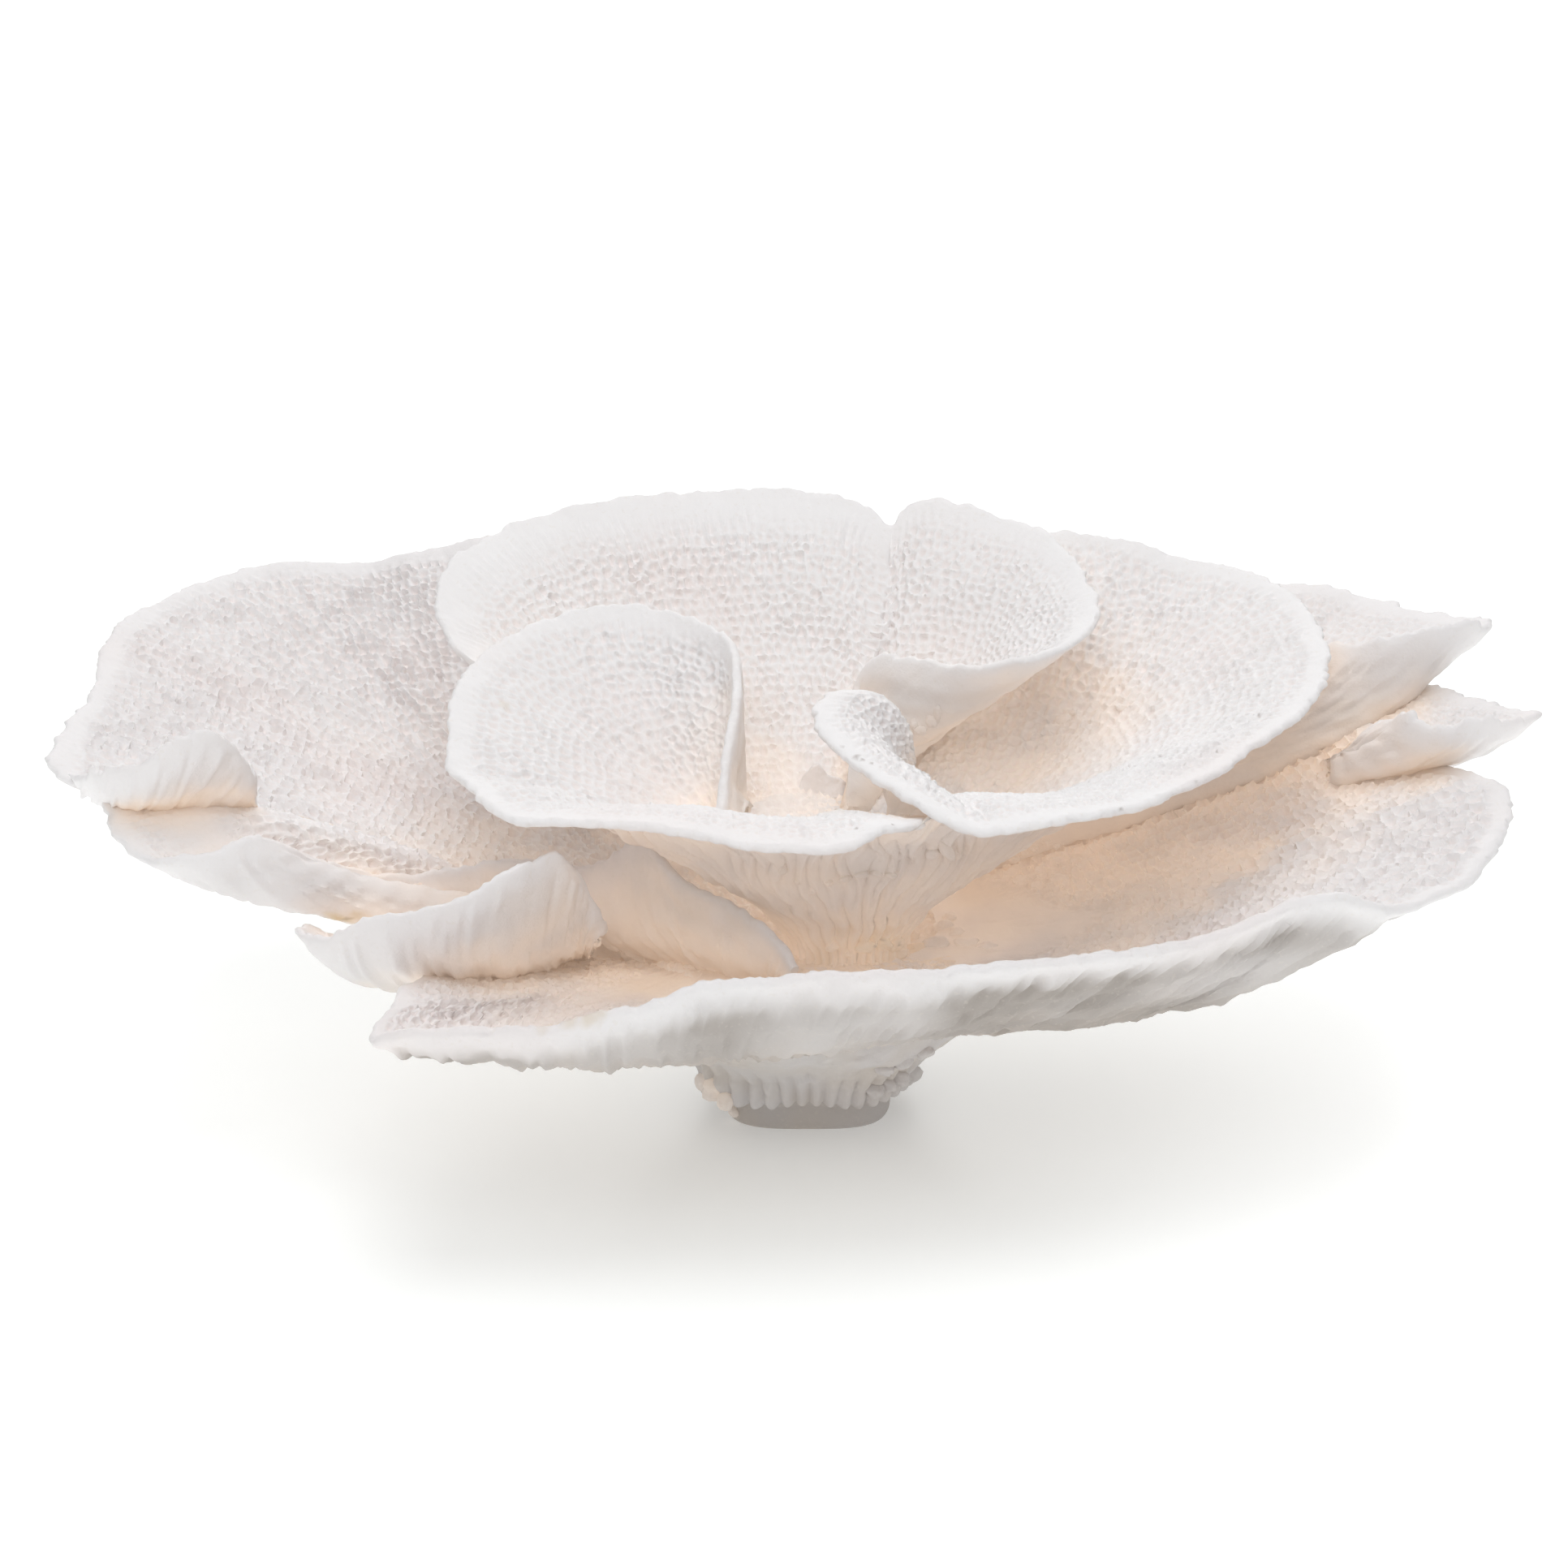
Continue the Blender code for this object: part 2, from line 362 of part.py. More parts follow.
def plate(name, spec, column, more=0.0, above=0.0, below=0.0):
    """The frond as a closed plate. With more, every face stands that much further out, as a cutter for its neighbours,
    and with above or below the upper or lower face stands further yet."""
    frond = Frond(spec)
    first, final, leaves = clear_of(frond, *column) if column else (0.0, 1.0, lambda at_u: at_u * 0.0)
    kept_from, kept_to = ENDS.get(name_of(name), (0, -1))
    if name_of(name) in ENDS:
        first, final = max(first, frond.stations[kept_from]), min(final, frond.stations[kept_to])
    us = []
    for a, b in zip(frond.ticks[:-1], frond.ticks[1:]):
        parts = max(1, math.ceil((b - a) * frond.length / LONGEST))
        us += [a + (b - a) * k / parts for k in range(parts)]
    us.append(1.0)
    kept = [us[0]]
    for u in us[1:]:
        if (u - kept[-1]) * frond.length > 5.0:
            kept.append(u)
    us = np.array([first, *(u for u in kept if first + 3.0 / frond.length < u < final - 3.0 / frond.length), final])
    u, v = np.meshgrid(us, ACROSS, indexing="ij")
    begin = leaves(us)[:, None]
    if name_of(name) in STARTS:
        marks, shares = zip(*STARTS[name_of(name)])
        begin = np.maximum(begin, np.interp(frond.low + us * (frond.high - frond.low), frond.stations[list(marks)], shares)[:, None])
    v = begin + (1 - begin) * v
    upper = frond.top(u, v)
    out = frond.normal(u, v)
    upper, reach = settle(upper, out * frond.depth(v)[..., None])
    lower = upper - reach
    if more:
        out = reach / (np.linalg.norm(reach, axis=-1, keepdims=True) + 1e-9)
        along = np.zeros_like(upper)
        along[:, -1] += upper[:, -1] - upper[:, -2]
        along[:, 0] += upper[:, 0] - upper[:, 1]
        side = np.zeros_like(upper)
        side[0] = upper[0] - upper[1]
        side[-1] = upper[-1] - upper[-2]
        push = (along / (np.linalg.norm(along, axis=-1, keepdims=True) + 1e-6)
                + side / (np.linalg.norm(side, axis=-1, keepdims=True) + 1e-6)) * more
        upper = upper + out * (more + above) + push
        lower = lower - out * (more + below) + push
    points, faces = closed(upper, lower)
    return solid(name, points, faces)


def sound(work):
    """Whether every edge has two faces, every corner one ring of them, and no two corners nearly meet."""
    if any(len(edge.link_faces) != 2 for edge in work.edges):
        return False
    places = {tuple(round(value * 2e6) for value in vert.co) for vert in work.verts}
    if len(places) < len(work.verts):
        return False
    for vert in work.verts:
        faces = set(vert.link_faces)
        if not faces:
            return False
        stack = [faces.pop()]
        while stack:
            for edge in stack.pop().edges:
                if vert in edge.verts:
                    for face in edge.link_faces:
                        if face in faces:
                            faces.remove(face)
                            stack.append(face)
        if faces:
            return False
    return True


def cut(target, cutters):
    """Takes the cutters out of the target and keeps its largest body."""
    for cutter in cutters:
        take = target.modifiers.new(cutter.name, "BOOLEAN")
        take.operation = "DIFFERENCE"
        take.solver = "MANIFOLD"
        take.object = cutter
    bpy.context.view_layer.update()
    evaluated = target.evaluated_get(bpy.context.evaluated_depsgraph_get())
    mesh = bpy.data.meshes.new_from_object(evaluated)
    target.modifiers.clear()
    for weld in (5e-5, 2e-5, 1e-5, 5e-6, 2e-6, 1e-6, 0.0):
        work = bmesh.new()
        work.from_mesh(mesh)
        bmesh.ops.triangulate(work, faces=work.faces[:])
        if weld:
            bmesh.ops.dissolve_degenerate(work, edges=work.edges[:], dist=weld)
            bmesh.ops.remove_doubles(work, verts=work.verts[:], dist=weld * 0.5)
            bmesh.ops.triangulate(work, faces=work.faces[:])
        if not weld or sound(work):
            break
        work.free()
    left = set(work.verts)
    bodies = []
    while left:
        stack = [left.pop()]
        body = list(stack)
        while stack:
            for edge in stack.pop().link_edges:
                for vert in edge.verts:
                    if vert in left:
                        left.remove(vert)
                        stack.append(vert)
                        body.append(vert)
        bodies.append(body)
    bodies.sort(key=lambda body: -sum(face.calc_area() for vert in body for face in vert.link_faces))
    for body in bodies[1:]:
        bmesh.ops.delete(work, geom=body, context="VERTS")
    work.to_mesh(mesh)
    work.free()
    target.data = mesh
    mesh.name = target.name


def grown(made):
    """A copy whose surface stands half a gap further out: a cutter in a finished frond's own shape."""
    mesh = made.data.copy()
    out = np.array([vert.normal[:] for vert in mesh.vertices])
    points = np.array([vert.co[:] for vert in mesh.vertices]) + out * GAP * 0.0005
    mesh.vertices.foreach_set("co", points.reshape(-1))
    mesh.update()
    copy = bpy.data.objects.new(made.name + "_grown", mesh)
    bpy.context.scene.collection.objects.link(copy)
    return helper(copy)


def near(a, b):
    """Whether the boxes of two objects meet."""
    boxes = [np.array([vert.co[:] for vert in made.data.vertices]) for made in (a, b)]
    return bool((boxes[0].max(0) > boxes[1].min(0)).all() and (boxes[1].max(0) > boxes[0].min(0)).all())


def finish(made, colour):
    for face in made.data.polygons:
        face.use_smooth = True
    stuff = bpy.data.materials.new(made.name)
    stuff.use_nodes = True
    shader = stuff.node_tree.nodes["Principled BSDF"]
    shader.inputs["Base Color"].default_value = (*colour, 1)
    shader.inputs["Roughness"].default_value = 0.85
    made.data.materials.clear()
    made.data.materials.append(stuff)


def column_of(name):
    if name in FREE:
        return None
    return (HOLDFAST_AT, HEART + 2 * GAP) if name in LOWER else (STEM_AT, CORE + 2 * GAP)


def main():
    for made in list(bpy.data.objects):
        bpy.data.objects.remove(made, do_unlink=True)
    fronds, cutters = {}, {}
    for name in (*LOWER, *UPPER):
        fronds[name] = plate(name, FRONDS[name], column_of(name))
        cutters[name] = helper(plate(name + "_cutter", FRONDS[name], column_of(name), GAP))
    done = []
    for name in (*UPPER, *LOWER):
        meets = [other for other in done if near(fronds[name], cutters[other])]
        for other, above, below in WHOLLY.get(name, ()):
            wide = helper(plate(other + "_wide", FRONDS[other], column_of(other), GAP, above, below))
            cut(fronds[name], [wide])
        if meets:
            cut(fronds[name], [cutters[other] for other in meets])
        done.append(name)
    holdfast = lathe("holdfast", HOLDFAST, HOLDFAST_AT)
    stem = lathe("upper_stem", STEM, STEM_AT)
    meets = [name for name in LOWER if near(holdfast, cutters[name])]
    cut(holdfast, [cutters[name] for name in meets])
    meets = [name for name in (*UPPER, *LOWER) if near(stem, cutters[name])]
    dish = helper(lathe("dish_cutter", [(r + GAP, z + GAP) for r, z in HOLDFAST], HOLDFAST_AT))
    cut(stem, [dish] + [cutters[name] for name in meets])
    finish(holdfast, COLOURS["holdfast"])
    finish(stem, COLOURS["upper"])
    for name, made in fronds.items():
        finish(made, COLOURS[name.split("_")[0]])
    for made in [made for made in bpy.data.objects if made.hide_render]:
        bpy.data.objects.remove(made, do_unlink=True)


main()
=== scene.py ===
"""The looks of a foliose coral: each frond as a fine mesh with its own cups, ridges and worn margin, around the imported
frame. Lengths are in millimetres until a mesh is made."""
import json
import math

import bmesh
import bpy
import numpy as np
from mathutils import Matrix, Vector, bvhtree, kdtree

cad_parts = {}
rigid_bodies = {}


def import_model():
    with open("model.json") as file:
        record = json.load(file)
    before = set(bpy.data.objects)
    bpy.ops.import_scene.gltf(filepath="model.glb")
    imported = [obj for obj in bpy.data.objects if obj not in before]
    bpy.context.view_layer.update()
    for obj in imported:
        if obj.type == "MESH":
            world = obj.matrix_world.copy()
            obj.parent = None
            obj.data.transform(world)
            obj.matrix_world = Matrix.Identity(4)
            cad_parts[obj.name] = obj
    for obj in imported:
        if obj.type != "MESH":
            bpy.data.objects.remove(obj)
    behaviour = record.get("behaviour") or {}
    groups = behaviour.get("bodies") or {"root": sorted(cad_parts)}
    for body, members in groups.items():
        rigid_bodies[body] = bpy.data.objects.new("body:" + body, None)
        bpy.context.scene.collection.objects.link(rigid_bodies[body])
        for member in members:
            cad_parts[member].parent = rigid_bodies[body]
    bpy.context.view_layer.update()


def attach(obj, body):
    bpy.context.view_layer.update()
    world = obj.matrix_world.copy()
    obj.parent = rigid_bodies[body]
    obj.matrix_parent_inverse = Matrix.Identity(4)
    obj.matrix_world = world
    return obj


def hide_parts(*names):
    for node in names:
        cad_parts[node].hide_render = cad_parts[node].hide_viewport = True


for old in list(bpy.data.objects):
    bpy.data.objects.remove(old, do_unlink=True)
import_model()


# All lengths are in millimetres until a mesh is made. The view that the margins were read from: a long lens, level
# from side to side, looking 20 degrees down along +Y. A margin point is written (column, row, depth): where it is seen
# in a picture 1932 units square, and how far back it lies, which at() turns into a place.
EYE = np.array([-5.14, -1052.65, 470.24])
TILT = math.radians(20.0)
FOCUS = 5366.7
MIDDLE = 966.0

RIM_THICK = 3.4  # a plate at its margin
FOOT_R = 22.5  # the sawn foot
FOOT_H = 5.0
FLOOR_Z = 44.0  # the lower dish's floor, where the stem stands
STEM_AT = (11.0, -6.0)


def at(col, row, depth):
    """The place (x, y, z) seen at this column and row when it lies at this depth."""
    a = (col - MIDDLE) / FOCUS
    b = (row - MIDDLE) / FOCUS
    run = (depth - EYE[1]) / (math.cos(TILT) - b * math.sin(TILT))
    return (EYE[0] + run * a, depth, EYE[2] - run * (math.sin(TILT) + b * math.cos(TILT)))


# Each frond is a fan of ribs. "rim" lists points along its margin, anticlockwise from above, with the rib's rise in
# degrees where it ends there: 0 lies flat, 90 stands up. "root" lists where the ribs start, by share of the margin's
# length, with their rise there. "reach" is how long each end of a rib keeps its own direction, as a share of the rib.
# The front margin runs on without a break from the front frond into the near right one.
FRONT = dict(
    rim=[(600, 1150, -32, 10), (540, 1180, -46, 8), (518, 1203, -60, 8), (496, 1215, -70, 10), (489, 1235, -81, 10),
         (466, 1258, -90, 5, 0.2), (461, 1277, -97, 12, 0.15), (480, 1271, -102, 44, 0.12), (540, 1267, -104, 66, 0.12),
         (620, 1267, -104, 70, 0.15), (680, 1262, -104, 72, 0.2), (740, 1246, -104, 72, 0.25), (800, 1232, -103, 72, 0.3),
         (860, 1212, -102, 70, 0.34), (960, 1202, -101, 70, 0.36), (1070, 1197, -99, 68, 0.36), (1140, 1193, -97, 62, 0.36),
         (1200, 1187, -95, 56, 0.36), (1300, 1178, -90, 48, 0.36), (1390, 1169, -84.5, 46, 0.36),
         (1450, 1160, -80, 52), (1500, 1147, -77, 54), (1550, 1127, -74, 56), (1600, 1106, -72, 58), (1650, 1100, -70, 58),
         (1690, 1112, -67, 46), (1733, 1113, -61, 18), (1770, 1098, -54, 6), (1806, 1084, -47, 4), (1832, 1055, -36, 5),
         (1852, 1015, -20, 8), (1857, 988, -8, 10), (1847, 965, 2, 12), (1832, 956, 8, 14), (1802, 950, 16, 18),
         (1765, 938, 26, 22), (1730, 921, 36, 26), (1695, 897, 46, 30), (1662, 870, 56, 32), (1632, 850, 63, 34),
         (1600, 838, 70, 34), (1560, 826, 80, 34), (1512, 815, 90, 32)],
    root=[(0, -38, -10, 44, 2), (0.066, -30, -20, 45.5, 2), (0.23, -20, -24, 46, 2), (0.41, 12, -22, 46, 0),
          (0.52, 25, -18, 46, -2), (0.69, 32, -10, 46, -1), (0.82, 35, 0, 46, 8), (0.9, 34, 12, 47, 12), (1, 27, 25, 48, 13)],
    reach=(0.45, 0.35), thick=(4.0, 14, 1.6), turn=0.16)
# The same for the large left frond and the near left one, whose flange rolls up and climbs into the partition.
LEFT = dict(
    rim=[(760, 663, 143, 22), (700, 655, 144, 24), (640, 652, 138, 26), (600, 661, 134, 26),
         (540, 675, 135, 25), (500, 682, 136, 24), (450, 692, 138, 22), (420, 693, 138, 20), (370, 691, 138, 20),
         (330, 695, 136, 20), (290, 705, 131, 19), (240, 720, 122, 18), (190, 742, 108, 18), (150, 768, 92, 18),
         (135, 790, 82, 17), (125, 825, 65, 16), (108, 860, 48, 15), (85, 890, 32, 14), (70, 915, 18, 14),
         (66, 935, 7, 16), (76, 951, 1, 16), (98, 963, -3, 12), (118, 973, -7, 6), (131, 984, -11, 0),
         (134, 996, -15, -4), (134, 1008, -19, -6), (143, 1028, -26, -4),
         (165, 1048, -34, 4, 0.2), (195, 1058, -40, 30, 0.15), (225, 1055, -42, 58, 0.12), (250, 1050, -42, 70, 0.12),
         (285, 1037, -40, 76, 0.12), (310, 1030, -38, 78, 0.12), (350, 1042, -34, 78, 0.12), (390, 1060, -28, 76, 0.13),
         (430, 1072, -22, 76, 0.15), (500, 1078, -15, 78, 0.2),
         (560, 1068, -12, 80, 0.26), (620, 1060, -12, 82, 0.26), (660, 1062, -14, 82, 0.26), (705, 1069, -17, 82, 0.28),
         (745, 1060, -20, 82, 0.3), (770, 1046, -22, 82, 0.32), (786, 1029, -24, 82, 0.34), (803, 1036, -25, 82, 0.34),
         (818, 1054, -26, 80, 0.34), (836, 1074, -28, 78, 0.34), (860, 1090, -30, 76, 0.34), (895, 1108, -33, 74, 0.32),
         (930, 1130, -37, 70, 0.3), (965, 1160, -42, 62, 0.3), (984, 1190, -46, 40, 0.3)],
    root=[(0, -8, 17, 46, 6), (0.27, -22, 8, 46, 7), (0.53, -26, -3, 46, 9), (0.65, -27, -8, 46, 12),
          (0.78, -24, -13, 46, 12), (0.88, -16, -18, 46, 8), (1, -4, -26, 46, 10)],
    reach=(0.42, 0.38), thick=(3.4, 8, 2.0))
# The same for the upper cup's ear and back.
BACK = dict(
    rim=[(1054, 882, 33, 6), (1060, 852, 35, 22), (1072, 828, 36, 38), (1093, 811, 31, 54), (1121, 810, 25, 58),
         (1155, 817, 18, 58), (1204, 820, 12, 56), (1242, 813, 11, 50), (1293, 800, 14, 40), (1328, 783, 20, 26),
         (1351, 757, 31, 20), (1340, 720, 46, 24), (1320, 685, 60, 28), (1290, 657, 71, 32), (1240, 640, 79, 34),
         (1190, 621, 86, 36), (1155, 614, 90, 36), (1125, 619, 91, 38), (1108, 634, 89, 40), (1099, 648, 87, 40),
         (1088, 640, 88, 38),
         (1070, 624, 91, 36), (1040, 612, 93, 36), (1000, 606, 95, 36), (935, 603, 96, 36), (870, 605, 95, 36),
         (800, 609, 92, 36), (740, 617, 88, 36), (680, 630, 82, 34), (640, 645, 76, 32), (590, 668, 66, 28),
         (560, 690, 58, 26), (545, 715, 51, 24), (541, 745, 43, 20), (549, 776, 35, 16), (562, 799, 29, 14),
         (587, 819, 24, 12), (612, 830, 20, 10)],
    root=[(0, 14, 31, 89, 10), (0.2, 14, 31, 89, 12), (0.33, 12, 20, 83, 10), (0.44, 8, 0, 76, 8), (0.5, 6, -10, 74, 6),
          (0.77, -5, -10, 73, 6), (1, -14, -16, 75, 8)],
    reach=(0.4, 0.34), thick=(3.2, 6, 2.0))

FRONDS = {
    "lower_back_frond": dict(
        rim=[(1330, 690, 140, 22), (1260, 685, 146, 24), (1150, 678, 152, 25), (1050, 672, 156, 26),
             (950, 668, 158, 26), (860, 665, 156, 25), (800, 664, 151, 24), (775, 668, 143, 22)],
        root=[(0, 12, 16, 46, 6), (1, -2, 18, 46, 6)], reach=(0.42, 0.42), thick=(3.4, 8, 2.0)),
    "lower_left_frond": dict(LEFT, part=(0, 23)),
    "lower_near_left_frond": dict(LEFT, part=(23, -1)),
    "lower_left_tab": dict(
        rim=[(84, 954, -3, 30), (105, 954, -13, 55), (130, 948, -18, 72), (160, 943, -22, 80), (200, 925, -24, 84),
             (235, 905, -23, 84), (265, 902, -21, 84), (285, 915, -18, 84), (300, 935, -15, 84), (312, 960, -11, 84),
             (315, 974, -9, 82)],
        root=[(0, 92, 958, 2, 10), (0.25, 140, 985, -2, 30), (0.5, 190, 1003, -6, 45), (0.8, 270, 1006, -5, 60),
              (1, 318, 998, -3, 70)], reach=(0.4, 0.4), thick=(2.8, 3.4, 1.0)),
    "lower_folded_frond": dict(
        rim=[(378, 1137, -38, 30), (371, 1143, -46, 34, 0.36), (379, 1150, -54, 58, 0.32), (400, 1150, -60, 76, 0.3),
             (440, 1138, -64, 82, 0.3), (500, 1125, -66, 84, 0.32), (560, 1108, -67, 85, 0.34), (600, 1088, -66, 86, 0.34),
             (630, 1068, -63, 88, 0.32), (660, 1062, -58, 90, 0.3), (683, 1054, -54, 90, 0.3), (702, 1068, -50, 88, 0.3),
             (718, 1092, -46, 86, 0.3), (734, 1120, -43, 82, 0.3), (738, 1138, -41, 74, 0.3), (730, 1150, -40, 64, 0.3)],
        root=[(0, -72, -22, 51, -4), (0.5, -62, -16, 52, -8), (1, -54, -15, 53, -6)], reach=(0.42, 0.30), thick=(2.8, 4.5, 1.6),
        turn=0.3),
    "lower_front_frond": dict(FRONT, part=(0, 19)),
    "lower_near_right_frond": dict(FRONT, part=(19, -1)),
    "lower_right_frond": dict(
        rim=[(1684, 906, 43, 26), (1703, 898, 34, 46), (1725, 889, 25, 66), (1745, 884, 19, 74), (1757, 891, 17, 76),
             (1790, 887, 15, 76), (1835, 880, 17, 72), (1872, 884, 20, 50), (1886, 876, 28, 24), (1850, 868, 40, 12),
             (1800, 856, 52, 10), (1770, 848, 58, 10), (1740, 841, 64, 12), (1712, 842, 68, 14)],
        root=[(0, 137, 39, 71.5, 34), (0.5, 133, 44, 72.5, 31), (1, 128, 55, 77, 25)], reach=(0.42, 0.30), thick=(3.4, 4.5, 1.6)),
    "lower_back_right_frond": dict(
        rim=[(1612, 812, 66, 40), (1640, 801, 60, 62), (1680, 791, 56, 72), (1716, 785, 54, 76),
             (1766, 777, 54, 74), (1796, 770, 57, 66), (1829, 768, 66, 34), (1826, 762, 72, 22), (1790, 758, 82, 16),
             (1740, 748, 93, 16), (1690, 737, 103, 16), (1640, 723, 111, 18), (1600, 719, 115, 18), (1540, 716, 121, 20),
             (1460, 706, 129, 22), (1400, 700, 134, 22), (1360, 700, 134, 20)],
        root=[(0, 34, 31, 54, 16), (0.5, 28, 32, 52, 14), (1, 16, 24, 48, 10)], reach=(0.42, 0.28), thick=(3.4, 8, 2.0)),
    "upper_back_frond": dict(BACK, part=(19, -1)),
    "upper_ear_frond": dict(BACK, part=(0, 19)),
    "upper_left_frond": dict(
        rim=[(880, 1024, -40, 66), (883, 992, -35, 76), (886, 960, -30, 80), (889, 930, -24, 82), (898, 888, -14, 84), (902, 829, 2, 80),
             (899, 804, 10, 74), (885, 783, 17, 66), (856, 768, 23, 56), (814, 752, 29, 48), (767, 747, 31, 44),
             (708, 752, 29, 40), (658, 766, 23, 36), (607, 796, 13, 30), (585, 815, 6, 26), (569, 838, -2, 22),
             (560, 885, -16, 18), (556, 925, -28, 14), (560, 948, -35, 12), (582, 968, -43, 8), (600, 988, -50, 6),
             (624, 1002, -56, 4), (725, 1010, -64, -2), (809, 1015, -68, -4), (870, 1028, -72, -6), (919, 1038, -75, -6),
             (985, 1043, -77, -6), (1024, 1044, -76, -6), (1060, 1033, -73, -4), (1087, 1020, -69, 0),
             (1125, 1012, -62, 6), (1150, 1004, -50, 14)],
        root=[(0, -17, -20, 84, 60), (0.2, -21, -16, 84, 50), (0.4, -22, -16, 84, 22), (0.6, -20, -22, 82, 14),
              (0.75, -13, -24, 78, 40), (0.88, -4, -22, 74, 56), (1, 8, -20, 72, 60)], reach=(0.45, 0.40),
        thick=(3.4, 6, 2.0)),
    "upper_right_frond": dict(
        rim=[(1110, 900, 8, 24), (1106, 880, 5, 10), (1090, 868, 2, 0), (1070, 855, 0, -6),
             (1050, 849, -3, -8), (1025, 853, -8, -10), (1008, 868, -15, -10), (1006, 882, -21, -10),
             (1015, 900, -28, -10), (1038, 922, -36, -10), (1065, 947, -44, -10), (1100, 968, -52, -10),
             (1130, 986, -59, -10), (1160, 1004, -65, -8), (1210, 1023, -69, -8), (1260, 1014, -67, -6), (1330, 1003, -61, -2),
             (1400, 990, -53, 2), (1440, 975, -46, 4), (1500, 945, -33, 8), (1560, 905, -15, 10), (1600, 875, 0, 12),
             (1625, 845, 14, 12), (1635, 810, 30, 12), (1625, 775, 46, 14), (1600, 740, 62, 16), (1570, 718, 72, 18),
             (1530, 702, 79, 20), (1450, 685, 87, 26), (1400, 668, 90, 30), (1340, 656, 93, 32), (1290, 655, 93, 32),
             (1240, 672, 88, 30), (1190, 700, 82, 26), (1152, 712, 76, 24)],
        root=[(0, 28, -3, 74, 78), (0.15, 28, -8, 72, 82), (0.3, 24, -14, 70, 66), (0.42, 27, -14, 68, 40),
              (0.6, 31, -8, 67, 18), (0.8, 29, 0, 67, 12), (1, 16, 3, 71, 12)], reach=(0.44, 0.38), thick=(3.4, 6, 2.0)),
}


def spread(x, xs, ys):
    """A smooth curve through the points (xs, ys), which overshoots little: cubic, with each slope held to its neighbours."""
    xs = np.asarray(xs, float)
    ys = np.asarray(ys, float)
    gaps = np.diff(xs)
    slopes = np.diff(ys) / gaps
    lean = np.empty(len(xs))
    lean[1:-1] = (slopes[:-1] * gaps[1:] + slopes[1:] * gaps[:-1]) / (gaps[:-1] + gaps[1:])
    lean[0], lean[-1] = slopes[0], slopes[-1]
    k = np.clip(np.searchsorted(xs, x) - 1, 0, len(xs) - 2)
    t = (x - xs[k]) / gaps[k]
    return (ys[k] * (1 + 2 * t) * (1 - t) ** 2 + ys[k + 1] * t * t * (3 - 2 * t)
            + gaps[k] * (lean[k] * t * (1 - t) ** 2 - lean[k + 1] * t * t * (1 - t)))


def seen(row):
    """A margin or root point as (x, y, z): a picture place has columns and rows, which are all over 60 and 200."""
    a, b, c = row[:3]
    return at(a, b, c) if b > 200 else (a, b, c)


